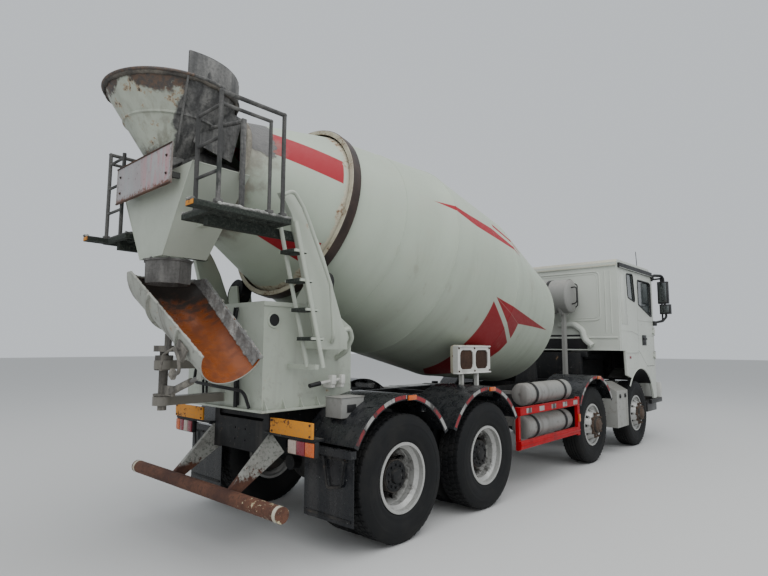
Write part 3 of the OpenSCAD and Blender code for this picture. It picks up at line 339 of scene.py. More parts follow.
    @staticmethod
    def from_node(name: str, node: str, bevel: float = 0.0, segments: int = 2) -> Object:
        """A worked copy of a CAD node, its loose triangles merged and its edges rounded.

        Args:
            name: the new piece's name.
            node: the node to copy.
            bevel: width of the rounding, none at 0.
            segments: steps in the rounding.

        Returns:
            The piece.
        """
        piece = bpy.data.objects.new(name, frame["nodes"][node].data.copy())
        bpy.context.scene.collection.objects.link(piece)
        piece.data.materials.clear()
        with Bench.editing(piece, "VERT"):
            Bench.whole()
            bpy.ops.mesh.remove_doubles(threshold=0.00002)
            bpy.ops.mesh.customdata_custom_splitnormals_clear()
            Bench.whole()
            bpy.ops.mesh.dissolve_limited(angle_limit=math.radians(0.6))
        if bevel:
            Bench.modify(piece, "BEVEL", width=bevel, segments=segments, limit_method="ANGLE",
                angle_limit=math.radians(32), use_clamp_overlap=True)
        return piece

    @staticmethod
    def dress(piece: Object, body: str, finish: Material, stands_for: Sequence[str] = (),
            smooth: float = 35.0) -> Object:
        """Finishes a piece: its shading, its material, its body and the nodes it stands for.

        Args:
            piece: the piece.
            body: the CAD body that it moves with.
            finish: its material, or none where the faces already have theirs.
            stands_for: CAD nodes that it replaces.
            smooth: the angle in degrees up to which edges are shaded smooth.

        Returns:
            The piece.
        """
        Bench.take(piece)
        bpy.ops.object.shade_smooth_by_angle(angle=math.radians(smooth))
        if finish is not None:
            piece.data.materials.clear()
            piece.data.materials.append(finish)
        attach(piece, body)
        if stands_for:
            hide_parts(*stands_for)
        LOG.info("%s rides on %s", piece.name, body)
        return piece


def round_route(points: list[Vector], bend: float, steps: int = 6) -> list[Vector]:
    """Rounds the corners of a route.

    Args:
        points: its corners.
        bend: radius of the bends.
        steps: how many steps a bend has.

    Returns:
        The route with an arc at each inner corner.
    """
    if bend <= 0.0 or len(points) < 3:
        return points
    route = [points[0]]
    for before, corner, after in zip(points, points[1:], points[2:]):
        back, onward = (before - corner).normalized(), (after - corner).normalized()
        half = back.angle(onward) / 2
        reach = min(bend / max(math.tan(half), 0.01), 0.45 * (before - corner).length, 0.45 * (after - corner).length)
        first, last = corner + back * reach, corner + onward * reach
        for step in range(steps + 1):
            share = step / steps
            route.append(first.lerp(corner, share).lerp(corner.lerp(last, share), share))
    route.append(points[-1])
    return route


class Shade:
    """One material's node tree, grown in small steps."""

    def __init__(self, name: str) -> None:
        """Starts a material that holds only its skin shader and its output."""
        self.material = bpy.data.materials.new(name)
        self.material.use_nodes = True
        self.tree = self.material.node_tree
        self.tree.nodes.clear()
        self.output = self.tree.nodes.new("ShaderNodeOutputMaterial")
        self.skin = self.tree.nodes.new("ShaderNodeBsdfPrincipled")
        self.tree.links.new(self.skin.outputs["BSDF"], self.output.inputs["Surface"])
        self.place = self.tree.nodes.new("ShaderNodeTexCoord").outputs["Object"]

    def link(self, source: Socket | float | Colour, target: Socket) -> None:
        """Feeds a socket from another socket or with a plain value."""
        if isinstance(source, bpy.types.NodeSocket):
            self.tree.links.new(source, target)
        elif isinstance(source, (int, float)):
            target.default_value = source
        else:
            target.default_value = (*source, 1.0) if len(source) == 3 else source

    def set(self, **values: float) -> None:
        """Sets constant values on the skin's own sockets, by name with _ for a space."""
        for key, value in values.items():
            self.skin.inputs[key.replace("_", " ")].default_value = value

    def stretched(self, scale: Point, turn: Point = (0, 0, 0), centre: Point = (0, 0, 0)) -> Socket:
        """The object coordinates seen from a turned, centred and stretched frame."""
        node = self.tree.nodes.new("ShaderNodeMapping")
        node.vector_type = "TEXTURE"
        node.inputs["Location"].default_value = centre
        node.inputs["Rotation"].default_value = turn
        node.inputs["Scale"].default_value = [1.0 / s for s in scale]
        self.link(self.place, node.inputs["Vector"])
        return node.outputs["Vector"]

    def noise(self, scale: float, detail: float = 4.0, rough: float = 0.55, place: Socket | None = None) -> Socket:
        """A cloudy pattern from 0 to 1."""
        node = self.tree.nodes.new("ShaderNodeTexNoise")
        node.inputs["Scale"].default_value = scale
        node.inputs["Detail"].default_value = detail
        node.inputs["Roughness"].default_value = rough
        self.link(place or self.place, node.inputs["Vector"])
        return node.outputs["Fac"]

    def cells(self, scale: float, place: Socket | None = None) -> Socket:
        """Distance to the nearest point of a cell pattern."""
        node = self.tree.nodes.new("ShaderNodeTexVoronoi")
        node.inputs["Scale"].default_value = scale
        self.link(place or self.place, node.inputs["Vector"])
        return node.outputs["Distance"]

    def ramp(self, value: Socket, low: float, high: float, start: float = 0.0, end: float = 1.0) -> Socket:
        """Turns values from low to high into start to end, smoothly and held at both ends."""
        node = self.tree.nodes.new("ShaderNodeMapRange")
        node.interpolation_type = "SMOOTHSTEP"
        for key, number in (("From Min", low), ("From Max", high), ("To Min", start), ("To Max", end)):
            node.inputs[key].default_value = number
        self.link(value, node.inputs["Value"])
        return node.outputs["Result"]

    def math(self, what: str, first: Socket | float, second: Socket | float = 0.0, held: bool = False) -> Socket:
        """One sum of two values.

        Args:
            what: the operation's name.
            first: its first value.
            second: its second value.
            held: whether the result is held between 0 and 1.

        Returns:
            The result's socket.
        """
        node = self.tree.nodes.new("ShaderNodeMath")
        node.operation = what
        node.use_clamp = held
        self.link(first, node.inputs[0])
        self.link(second, node.inputs[1])
        return node.outputs[0]

    def all_of(self, *values: Socket) -> Socket:
        """The product of several masks."""
        result = values[0]
        for value in values[1:]:
            result = self.math("MULTIPLY", result, value)
        return result

    def any_of(self, *values: Socket) -> Socket:
        """The largest of several masks."""
        result = values[0]
        for value in values[1:]:
            result = self.math("MAXIMUM", result, value)
        return result

    def axes(self, place: Socket | None = None) -> tuple[Socket, Socket, Socket]:
        """A place's three coordinates."""
        node = self.tree.nodes.new("ShaderNodeSeparateXYZ")
        self.link(place or self.place, node.inputs[0])
        return node.outputs[0], node.outputs[1], node.outputs[2]

    def inside(self, low: Point, high: Point, edge: float = 0.01) -> Socket:
        """A mask that is 1 inside a box of object coordinates."""
        masks = []
        for value, start, end in zip(self.axes(), low, high):
            masks += [self.ramp(value, start - edge, start + edge), self.ramp(value, end + edge, end - edge)]
        return self.all_of(*masks)

    def facing_up(self) -> Socket:
        """How far the surface's own normal points up, from 0 to 1."""
        shape = self.tree.nodes.new("ShaderNodeNewGeometry")
        split = self.tree.nodes.new("ShaderNodeSeparateXYZ")
        self.link(shape.outputs["Normal"], split.inputs[0])
        return self.ramp(split.outputs[2], 0.2, 0.9)

    def mix(self, share: Socket | float, first: Socket | Colour, second: Socket | Colour) -> Socket:
        """Lays a second colour over a first one by a share."""
        node = self.tree.nodes.new("ShaderNodeMix")
        node.data_type = "RGBA"
        self.link(share, node.inputs["Factor"])
        self.link(first, node.inputs[6])
        self.link(second, node.inputs[7])
        return node.outputs[2]

    def bump(self, height: Socket, depth: float, strength: float = 1.0) -> None:
        """Gives the skin a relief, its depth in metres, on top of the one it has."""
        node = self.tree.nodes.new("ShaderNodeBump")
        node.inputs["Strength"].default_value = strength
        node.inputs["Distance"].default_value = depth
        self.link(height, node.inputs["Height"])
        before = self.skin.inputs["Normal"].links
        if before:
            self.link(before[0].from_socket, node.inputs["Normal"])
        self.link(node.outputs["Normal"], self.skin.inputs["Normal"])

    def colour(self, value: Socket | Colour) -> None:
        """Sets the skin's colour."""
        self.link(value, self.skin.inputs["Base Color"])

    def rough(self, value: Socket | float) -> None:
        """Sets the skin's roughness."""
        self.link(value, self.skin.inputs["Roughness"])


@dataclass(frozen=True)
class WornPaint:
    """Sheet-metal paint with grime, runs, dust on its upper faces and chips down to rust."""

    name: str
    colour: Colour
    grime: Colour = (0.20, 0.185, 0.16)
    rust: Colour = (0.13, 0.05, 0.025)
    dust: Colour = (0.36, 0.34, 0.30)
    grime_share: float = 0.35
    chips: float = 0.0
    dusting: float = 0.3
    gloss: float = 0.42
    splash_z: float = 1.2
    metallic: float = 0.0
    zone: tuple[Point, Point] | None = None
    zone_colour: Colour = (0.5, 0.5, 0.5)
    shine: float = 0.4
    spatter: float = 0.0

    def build(self) -> Material:
        """The paint as a material."""
        shade = Shade(self.name)
        wide = shade.noise(0.9, 3.0)
        fine = shade.noise(14.0, 6.0, 0.65)
        runs = shade.noise(6.0, 4.0, 0.6, shade.stretched((1.0, 1.0, 0.07)))
        _, _, height = shade.axes()
        paint = shade.mix(shade.ramp(wide, 0.3, 0.7), self.colour, tuple(c * 0.88 for c in self.colour))
        if self.zone:
            paint = shade.mix(shade.inside(*self.zone), paint, self.zone_colour)
        low_down = shade.ramp(height, self.splash_z + 0.9, self.splash_z - 0.6, 0.12, 1.0)
        stain = shade.all_of(shade.ramp(runs, 0.48, 0.78), low_down)
        stain = shade.math("MULTIPLY", stain, self.grime_share * 1.6, held=True)
        speck = shade.all_of(shade.ramp(fine, 0.52, 0.72), low_down)
        stain = shade.any_of(stain, shade.math("MULTIPLY", speck, self.grime_share, held=True))
        skin = shade.mix(stain, paint, self.grime)
        dust = shade.math("MULTIPLY", shade.all_of(shade.facing_up(), shade.ramp(fine, 0.3, 0.6)), self.dusting,
            held=True)
        skin = shade.mix(dust, skin, self.dust)
        if self.spatter:
            drops = shade.ramp(shade.noise(48.0, 3.0, 0.6), 0.70, 0.73, 0.0, self.spatter)
            skin = shade.mix(drops, skin, (0.34, 0.34, 0.32))
        roughness = shade.ramp(fine, 0.2, 0.8, self.gloss - 0.06, self.gloss + 0.14)
        if self.chips:
            spots = shade.noise(9.0, 8.0, 0.72)
            edge = 0.74 - 0.22 * self.chips
            chip = shade.ramp(spots, edge, edge + 0.02)
            halo = shade.ramp(spots, edge - 0.07, edge + 0.01, 0.0, 0.55)
            skin = shade.mix(halo, skin, (0.42, 0.25, 0.13))
            skin = shade.mix(chip, skin, shade.mix(fine, self.rust, (0.05, 0.025, 0.018)))
            roughness = shade.math("MAXIMUM", roughness, shade.all_of(chip, 0.85))
            shade.bump(shade.math("SUBTRACT", 1.0, chip), 0.0012, 0.8)
        shade.colour(skin)
        shade.rough(roughness)
        shade.set(Metallic=self.metallic, Specular_IOR_Level=self.shine)
        shade.bump(fine, 0.0006, 0.35)
        return shade.material


@dataclass(frozen=True)
class PaintField:
    """A painted field on the drum: a convex shape of places along the axis and degrees from the top."""

    corners: tuple[tuple[float, float], ...]


@dataclass(frozen=True)
class DrumPaint:
    """The drum's pale paint with its red fields, drawn from the drum's own axis, twice round it, with painted shade
    that darkens paint and reds towards the drum's underside.
    """

    name: str
    centre: Point
    slope: float
    colour: Colour = (0.425, 0.480, 0.395)
    red: Colour = (0.31, 0.0025, 0.012)
    cream: Colour = (0.50, 0.46, 0.35)
    fields: tuple[PaintField, ...] = ()
    ring_face: float = -0.09
    edge: float = 0.004

    def field(self, shade: Shade, along: Socket, angle: Socket, shape: PaintField) -> Socket:
        """The mask of one field.

        Args:
            shade: the material's tree.
            along: place along the drum's axis in metres.
            angle: angle from the drum's top in radians.
            shape: the field.

        Returns:
            A mask that is 1 on the field.
        """
        spots = [Vector((s, math.radians(a))) for s, a in shape.corners]
        middle = sum(spots, Vector((0.0, 0.0))) / len(spots)
        masks = []
        for spot, onward in zip(spots, spots[1:] + spots[:1]):
            way = (onward - spot).normalized()
            inward = Vector((-way.y, way.x))
            if (middle - spot).dot(inward) < 0:
                inward = -inward
            reach = shade.math("ADD", shade.all_of(along, inward.x), shade.all_of(angle, inward.y))
            masks.append(shade.ramp(reach, spot.dot(inward) - self.edge, spot.dot(inward) + self.edge))
        return shade.all_of(*masks)

    def build(self) -> Material:
        """The paint as a material."""
        shade = Shade(self.name)
        along, across, up = shade.axes(shade.stretched((1, 1, 1), (0, self.slope, 0), self.centre))
        angle = shade.math("ARCTAN2", shade.all_of(across, -1.0), up)
        angle = shade.math("FLOORED_MODULO", angle, math.pi)
        reds = shade.any_of(*[self.field(shade, along, angle, shape) for shape in self.fields])
        wide, middle = shade.noise(0.7, 4.0), shade.noise(3.4, 6.0, 0.62)
        fine = shade.noise(22.0, 6.0, 0.65)
        rings = shade.noise(3.0, 5.0, 0.6, shade.stretched((2.2, 0.25, 0.25), (0, self.slope, 0), self.centre))
        runs = shade.noise(9.0, 5.0, 0.6, shade.stretched((1.0, 1.0, 0.10)))
        skin = shade.mix(shade.ramp(wide, 0.3, 0.75), self.colour, tuple(c * 0.86 for c in self.colour))
        skin = shade.mix(shade.ramp(middle, 0.5, 0.75, 0.0, 0.25), skin, (0.40, 0.40, 0.32))
        _, _, height = shade.axes()
        low = shade.ramp(height, 3.5, 1.7, 0.05, 0.75)
        dirt = shade.math("MULTIPLY", shade.ramp(rings, 0.42, 0.85), shade.all_of(low, 0.5), held=True)
        skin = shade.mix(dirt, skin, (0.20, 0.21, 0.165))
        # painted shade: the pale paint grows darker towards the drum's underside
        skin = shade.mix(shade.ramp(height, 2.9, 1.6, 0.0, 0.42), skin, (0.20, 0.215, 0.175))
        # painted shade: a darker copy of the red towards the drum's underside
        deep = shade.mix(shade.ramp(height, 3.2, 1.9), self.red, (0.20, 0.0025, 0.006))
        skin = shade.mix(reds, skin, shade.mix(shade.ramp(middle, 0.45, 0.8, 0.0, 0.25), deep, (0.34, 0.03, 0.04)))
        stain = shade.all_of(shade.ramp(runs, 0.56, 0.74), shade.ramp(middle, 0.46, 0.66), low)
        stain = shade.all_of(stain, 0.6)
        skin = shade.mix(stain, skin, (0.16, 0.14, 0.10))
        neck = shade.ramp(shade.math("ADD", along, shade.ramp(middle, 0.3, 0.7, -0.03, 0.03)), self.ring_face - 0.005,
            self.ring_face + 0.012)
        neck = shade.all_of(neck, shade.ramp(along, 0.05, 0.03))
        skin = shade.mix(shade.all_of(neck, 0.85), skin, self.cream)
        rust = shade.all_of(neck, shade.ramp(fine, 0.46, 0.62), shade.ramp(middle, 0.40, 0.6))
        skin = shade.mix(rust, skin, (0.17, 0.075, 0.03))
        mouth = shade.ramp(shade.math("ADD", along, shade.ramp(middle, 0.3, 0.7, -0.12, 0.12)), -0.66, -0.86)
        skin = shade.mix(shade.all_of(mouth, 0.8), skin, shade.mix(fine, (0.14, 0.135, 0.12), (0.24, 0.20, 0.15)))
        edge = shade.math("ADD", along, shade.ramp(fine, 0.3, 0.7, -0.02, 0.02))
        crust = shade.all_of(shade.ramp(edge, -0.70, -0.715), shade.ramp(shade.math("ADD", angle, shade.ramp(middle,
            0.3, 0.7, -0.10, 0.10)), 1.40, 1.34))
        skin = shade.mix(crust, skin, shade.mix(fine, (0.055, 0.055, 0.055), (0.19, 0.185, 0.175)))
        speck = shade.ramp(shade.noise(60.0, 3.0, 0.7), 0.70, 0.74, 0.0, 0.6)
        skin = shade.mix(shade.all_of(speck, low), skin, (0.08, 0.065, 0.05))
        shade.colour(skin)
        shade.rough(shade.ramp(fine, 0.2, 0.8, 0.36, 0.54))
        shade.set(Specular_IOR_Level=0.3)
        shade.bump(shade.all_of(crust, fine), 0.012, 0.8)
        shade.bump(wide, 0.014, 0.14)
        shade.bump(middle, 0.003, 0.25)
        shade.bump(fine, 0.0005, 0.3)
        return shade.material


@dataclass(frozen=True)
class RingPaint:
    """The running ring: a dark worn track, and a cream rear face with rust spots."""

    name: str
    centre: Point
    slope: float
    face: float = -0.051

    def build(self) -> Material:
        """The ring's finish as a material."""
        shade = Shade(self.name)
        along, _, _ = shade.axes(shade.stretched((1, 1, 1), (0, self.slope, 0), self.centre))
        wide, fine = shade.noise(5.0, 6.0, 0.65), shade.noise(38.0, 8.0, 0.7)
        track = shade.mix(shade.ramp(wide, 0.3, 0.7), (0.020, 0.013, 0.011), (0.048, 0.030, 0.023))
        cream = shade.mix(shade.ramp(wide, 0.3, 0.7), (0.46, 0.43, 0.33), (0.34, 0.31, 0.23))
        spots = shade.all_of(shade.ramp(fine, 0.50, 0.60), shade.ramp(wide, 0.46, 0.62))
        cream = shade.mix(spots, cream, (0.13, 0.06, 0.03))
        face = shade.ramp(along, self.face + 0.001, self.face - 0.001)
        shade.colour(shade.mix(face, track, cream))
        shade.rough(shade.ramp(face, 0.0, 1.0, 0.45, 0.7))
        shade.set(Specular_IOR_Level=0.3)
        shade.bump(fine, 0.001, 0.5)
        return shade.material


@dataclass(frozen=True)
class HopperPaint:
    """The hopper's pale paint behind its seam, and set concrete over everything ahead of it."""

    name: str
    seam_x: float
    throat_z: float
    rim_z: float
    colour: Colour = (0.40, 0.43, 0.36)

    def build(self) -> Material:
        """The paint and concrete as a material."""
        shade = Shade(self.name)
        along, _, height = shade.axes()
        wide, fine = shade.noise(2.6, 5.0, 0.6), shade.noise(30.0, 8.0, 0.72)
        streaks = shade.noise(12.0, 6.0, 0.65, shade.stretched((1, 1, 0.10)))
        lumps = shade.cells(30.0)
        shift = shade.math("ADD", along, shade.ramp(wide, 0.35, 0.65, -0.05, 0.05))
        crust = shade.ramp(shift, self.seam_x - 0.01, self.seam_x + 0.03)
        low = shade.ramp(shade.math("ADD", height, shade.ramp(fine, 0.3, 0.7, -0.05, 0.05)), self.throat_z + 0.10,
            self.throat_z - 0.02)
        lip = shade.math("ADD", height, shade.ramp(wide, 0.35, 0.65, -0.06, 0.06))
        lip = shade.ramp(lip, self.rim_z - 0.105, self.rim_z - 0.075)
        skin = shade.mix(shade.ramp(wide, 0.3, 0.7), self.colour, tuple(c * 0.8 for c in self.colour))
        grime = shade.all_of(shade.ramp(streaks, 0.44, 0.66), shade.ramp(height, self.throat_z + 0.5, self.throat_z,
            0.25, 1.0))
        skin = shade.mix(shade.all_of(grime, 0.75), skin, (0.16, 0.15, 0.115))
        chips = shade.noise(7.0, 8.0, 0.72)
        skin = shade.mix(shade.ramp(chips, 0.56, 0.60, 0.0, 0.7), skin, (0.30, 0.19, 0.10))
        skin = shade.mix(shade.ramp(chips, 0.615, 0.635), skin, (0.035, 0.028, 0.025))
        rust = shade.all_of(lip, shade.ramp(fine, 0.40, 0.6))
        skin = shade.mix(lip, skin, (0.050, 0.045, 0.042))
        skin = shade.mix(shade.all_of(rust, 0.45), skin, (0.17, 0.085, 0.04))
        grey = shade.mix(shade.ramp(streaks, 0.34, 0.70), (0.060, 0.060, 0.060), (0.20, 0.197, 0.186))
        grey = shade.mix(shade.ramp(fine, 0.42, 0.72, 0.0, 0.7), grey, (0.035, 0.035, 0.035))
        cover = shade.any_of(crust, shade.all_of(low, 0.9))
        shade.colour(shade.mix(cover, skin, grey))
        shade.rough(shade.ramp(cover, 0.0, 1.0, 0.55, 0.95))
        rough = shade.all_of(cover, fine)
        shade.bump(rough, 0.010, 0.8)
        shade.bump(shade.all_of(cover, lumps), 0.012, 0.4)
        shade.bump(streaks, 0.003, 0.3)
        return shade.material


@dataclass(frozen=True)
class LiningPaint:
    """The chute's scoured, glossy orange lining, black under the funnel."""

    name: str
    centre: Point
    slope: float
    orange: Colour = (0.27, 0.070, 0.014)
    brown: Colour = (0.16, 0.040, 0.011)

    def build(self) -> Material:
        """The lining as a material."""
        shade = Shade(self.name)
        _, _, height = shade.axes()
        wide, fine = shade.noise(3.2, 5.0, 0.6), shade.noise(40.0, 7.0, 0.7)
        wear = shade.noise(5.0, 6.0, 0.65, shade.stretched((2.6, 0.35, 2.6), (self.slope, 0, 0), self.centre))
        skin = shade.mix(shade.ramp(wear, 0.36, 0.66), self.orange, self.brown)
        skin = shade.mix(shade.ramp(wide, 0.55, 0.8, 0.0, 0.4), skin, (0.30, 0.105, 0.030))
        shift = shade.math("ADD", height, shade.ramp(wear, 0.3, 0.7, -0.10, 0.10))
        dark = shade.ramp(shift, 1.86, 2.08)
        skin = shade.mix(dark, skin, shade.mix(fine, (0.022, 0.018, 0.016), (0.055, 0.042, 0.034)))
        skin = shade.mix(shade.ramp(fine, 0.64, 0.70, 0.0, 0.6), skin, (0.07, 0.028, 0.014))
        shade.colour(skin)
        shade.rough(shade.math("ADD", shade.ramp(wear, 0.3, 0.7, 0.20, 0.42), shade.ramp(dark, 0.0, 1.0, 0.0, 0.3)))
        shade.set(Coat_Weight=0.35, Coat_Roughness=0.25)
        shade.bump(wear, 0.003, 0.4)
        shade.bump(fine, 0.0006, 0.4)
        return shade.material


@dataclass(frozen=True)
class BoardPaint:
    """A bare grey board with faded rose paint rubbed thin and a rusted lower edge."""

    name: str
    low_z: float
    back_x: float
    grey: Colour = (0.36, 0.36, 0.365)
    rose: Colour = (0.42, 0.24, 0.25)

    def build(self) -> Material:
        """The board's paint as a material."""
        shade = Shade(self.name)
        depth, across, height = shade.axes()
        wide, fine = shade.noise(3.0, 5.0, 0.6), shade.noise(34.0, 7.0, 0.7)
        brush = shade.noise(7.0, 6.0, 0.65, shade.stretched((1, 2.4, 0.35)))
        skin = shade.mix(shade.ramp(wide, 0.3, 0.7), self.grey, tuple(c * 0.78 for c in self.grey))
        faded = shade.all_of(shade.ramp(brush, 0.42, 0.60), shade.ramp(across, 0.12, -0.12, 0.15, 0.9))
        skin = shade.mix(faded, skin, self.rose)
        edge = shade.math("ADD", height, shade.ramp(fine, 0.3, 0.7, -0.03, 0.03))
        rust = shade.ramp(edge, self.low_z + 0.05, self.low_z + 0.012)
        skin = shade.mix(rust, skin, (0.13, 0.05, 0.028))
        side = shade.ramp(shade.math("ADD", shade.math("ABSOLUTE", across), shade.ramp(fine, 0.3, 0.7, -0.03, 0.03)),
            0.45, 0.5)
        skin = shade.mix(shade.all_of(side, 0.8), skin, (0.16, 0.12, 0.10))
        skin = shade.mix(shade.ramp(fine, 0.60, 0.66, 0.0, 0.8), skin, (0.09, 0.06, 0.05))
        skin = shade.mix(shade.ramp(depth, self.back_x, self.back_x + 0.004), skin, (0.045, 0.045, 0.043))
        shade.colour(skin)
        shade.rough(0.62)
        shade.bump(fine, 0.0012, 0.6)
        return shade.material


@dataclass(frozen=True)
class RimPaint:
    """A wheel's silver paint: bright at its lip, darker inwards with painted shade of the deep dish together with brake
    dust and mud.
    """

    name: str
    centre: Point
    shade_and_dirt_within: float
    # dark colour of the inner part: painted shade of the dish, with brake dust and mud
    dirt: Colour = (0.026, 0.023, 0.020)
    silver: Colour = (0.46, 0.46, 0.44)

    def build(self) -> Material:
        """The paint as a material."""
        shade = Shade(self.name)
        along, _, up = shade.axes(shade.stretched((1, 1, 1), (0, 0, 0), self.centre))
        reach = shade.math("SQRT", shade.math("ADD", shade.all_of(along, along), shade.all_of(up, up)))
        wide = shade.noise(9.0, 6.0, 0.65)
        fine = shade.noise(46.0, 6.0, 0.7)
        # inside this radius the silver turns dark: painted shade of the deep dish, with brake dust and mud
        edge = shade.math("ADD", reach, shade.ramp(wide, 0.3, 0.7, -0.035, 0.035))
        inner = shade.ramp(edge, self.shade_and_dirt_within + 0.02, self.shade_and_dirt_within - 0.03, 0.12, 0.94)
        skin = shade.mix(shade.ramp(fine, 0.3, 0.8), self.silver, tuple(c * 0.8 for c in self.silver))
        skin = shade.mix(inner, skin, shade.mix(shade.ramp(wide, 0.4, 0.65), self.dirt, (0.060, 0.046, 0.036)))
        skin = shade.mix(shade.ramp(fine, 0.58, 0.7, 0.0, 0.6), skin, (0.09, 0.075, 0.06))
        shade.colour(skin)
        shade.rough(shade.ramp(inner, 0.1, 0.9, 0.34, 0.85))
        shade.set(Metallic=0.25)
        shade.bump(fine, 0.0008, 0.5)
        return shade.material


@dataclass(frozen=True)
class Rust:
    """Steel that has lost most of its paint."""

    name: str
    deep: Colour = (0.055, 0.022, 0.013)
    bright: Colour = (0.19, 0.075, 0.03)
    paint: Colour = (0.55, 0.52, 0.42)
    paint_left: float = 0.25
    pits: float = 0.003
    grey_above: float = 0.0
    flake_size: float = 11.0
    flakes_to_y: float | None = None

    def build(self) -> Material:
        """The rust as a material."""
        shade = Shade(self.name)
        wide = shade.noise(3.5, 5.0, 0.6)
        fine = shade.noise(38.0, 8.0, 0.7)
        flakes = shade.noise(self.flake_size, 7.0, 0.72)
        if self.flakes_to_y is not None:
            _, across, _ = shade.axes()
            fewer = shade.ramp(across, self.flakes_to_y, self.flakes_to_y + 0.75, 0.0, -0.16)
            flakes = shade.math("ADD", flakes, fewer)
        skin = shade.mix(shade.ramp(wide, 0.3, 0.7), self.deep, self.bright)
        skin = shade.mix(shade.ramp(fine, 0.45, 0.7, 0.0, 0.7), skin, (0.03, 0.016, 0.012))
        edge = 0.80 - 0.42 * self.paint_left
        left = shade.ramp(flakes, edge, edge + 0.025)
        skin = shade.mix(left, skin, shade.mix(shade.ramp(fine, 0.4, 0.8, 0.0, 0.5), self.paint, (0.2, 0.13, 0.08)))
        if self.grey_above:
            _, _, height = shade.axes()
            height = shade.math("ADD", height, shade.ramp(flakes, 0.3, 0.7, 0.09, -0.09))
            plain = shade.mix(shade.ramp(wide, 0.35, 0.7), (0.33, 0.33, 0.30), (0.19, 0.185, 0.165))
            plain = shade.mix(shade.ramp(fine, 0.50, 0.62, 0.0, 0.7), plain, (0.06, 0.065, 0.055))
            bare = shade.ramp(height, self.grey_above, self.grey_above + 0.04)
            skin = shade.mix(bare, skin, plain)
            left = shade.any_of(left, bare)
        shade.colour(skin)
        shade.rough(shade.ramp(left, 0.0, 1.0, 0.88, 0.6))
        shade.bump(fine, self.pits, 0.5)
        shade.bump(left, 0.0015, 0.8)
        return shade.material


@dataclass(frozen=True)
class Crust:
    """Set concrete, rough and grey, that has run and splashed over what is under it."""

    name: str
    colour: Colour = (0.115, 0.11, 0.105)
    pale: Colour = (0.30, 0.29, 0.27)
    under: Colour = (0.45, 0.46, 0.42)
    cover: float = 1.0
    grain: float = 1.0
    dark_below: float = 0.0

    def build(self) -> Material:
        """The concrete as a material."""
        shade = Shade(self.name)
        runs = shade.noise(7.0, 5.0, 0.6, shade.stretched((1, 1, 0.22)))
        fine = shade.noise(45.0 * self.grain, 8.0, 0.72)
        clumps = shade.cells(26.0 * self.grain)
        skin = shade.mix(shade.ramp(runs, 0.35, 0.7), self.colour, self.pale)
        skin = shade.mix(shade.ramp(fine, 0.4, 0.75, 0.0, 0.6), skin, tuple(c * 0.5 for c in self.colour))
        if self.cover < 1.0:
            spread = shade.noise(4.0, 6.0, 0.65, shade.stretched((1, 1, 0.4)))
            edge = 0.35 + 0.35 * self.cover
            bare = shade.ramp(spread, edge, edge + 0.06)
            skin = shade.mix(bare, skin, self.under)
        # below the given height the crust turns a darker greenish black
        if self.dark_below:
            _, _, height = shade.axes()
            dark_lower_part = shade.mix(shade.ramp(fine, 0.45, 0.7), (0.012, 0.017, 0.013), (0.055, 0.062, 0.050))
            skin = shade.mix(shade.ramp(height, self.dark_below + 0.008, self.dark_below - 0.008), skin, dark_lower_part)
        shade.colour(skin)
        shade.rough(0.93)
        shade.bump(fine, 0.006, 0.7)
        shade.bump(clumps, 0.008, 0.35)
        shade.bump(runs, 0.02, 0.3)
        return shade.material


@dataclass(frozen=True)
class Metal:
    """Bare or plated metal, dull and a little stained."""

    name: str
    colour: Colour = (0.42, 0.43, 0.43)
    stain: Colour = (0.10, 0.085, 0.07)
    stain_share: float = 0.4
    metallic: float = 0.85
    gloss: float = 0.42

    def build(self) -> Material:
        """The metal as a material."""
        shade = Shade(self.name)
        wide = shade.noise(5.0, 4.0)
        fine = shade.noise(42.0, 6.0, 0.7)
        dark = shade.math("MULTIPLY", shade.ramp(wide, 0.45, 0.72), self.stain_share, held=True)
        skin = shade.mix(dark, self.colour, self.stain)
        skin = shade.mix(shade.ramp(fine, 0.55, 0.75, 0.0, 0.35), skin, self.stain)
        shade.colour(skin)
        shade.rough(shade.ramp(fine, 0.2, 0.8, self.gloss - 0.08, self.gloss + 0.2))
        shade.set(Metallic=self.metallic)
        shade.bump(fine, 0.0005, 0.4)
        return shade.material


@dataclass(frozen=True)
class Rubber:
    """Black rubber, greyed by dust and splashes low down."""

    name: str
    colour: Colour = (0.0075, 0.0080, 0.0088)
    dust: Colour = (0.042, 0.040, 0.036)
    share: float = 0.35

    def build(self) -> Material:
        """The rubber as a material."""
        shade = Shade(self.name)
        wide = shade.noise(4.0, 5.0, 0.6)
        fine = shade.noise(70.0, 5.0, 0.7)
        skin = shade.mix(shade.math("MULTIPLY", shade.ramp(wide, 0.4, 0.75), self.share, held=True), self.colour,
            self.dust)
        skin = shade.mix(shade.ramp(fine, 0.62, 0.8, 0.0, 0.4), skin, self.dust)
        shade.colour(skin)
        shade.rough(shade.ramp(wide, 0.3, 0.7, 0.62, 0.85))
        shade.set(Specular_IOR_Level=0.22)
        shade.bump(fine, 0.0006, 0.5)
        return shade.material


@dataclass(frozen=True)
class Lens:
    """A coloured lamp lens or reflector with fine ribs behind a glossy face."""

    name: str
    colour: Colour
    pitch: float = 0.006
    gloss: float = 0.16

    def build(self) -> Material:
        """The lens as a material."""
        shade = Shade(self.name)
        _, across, up = shade.axes()
        ribs = [shade.math("SINE", shade.all_of(way, 2 * math.pi / self.pitch)) for way in (across, up)]
        grid = shade.all_of(ribs[0], ribs[1])
        dirt = shade.noise(16.0, 6.0, 0.65)
        skin = shade.mix(shade.ramp(grid, -1.0, 1.0, 0.0, 0.35), self.colour, tuple(c * 0.45 for c in self.colour))
        skin = shade.mix(shade.ramp(dirt, 0.52, 0.75, 0.0, 0.55), skin, (0.16, 0.13, 0.10))
        shade.colour(skin)
        shade.rough(shade.ramp(dirt, 0.4, 0.7, self.gloss, 0.6))
        shade.set(Coat_Weight=0.5, Coat_Roughness=0.1)
        shade.bump(grid, 0.0006, 0.4)
        return shade.material


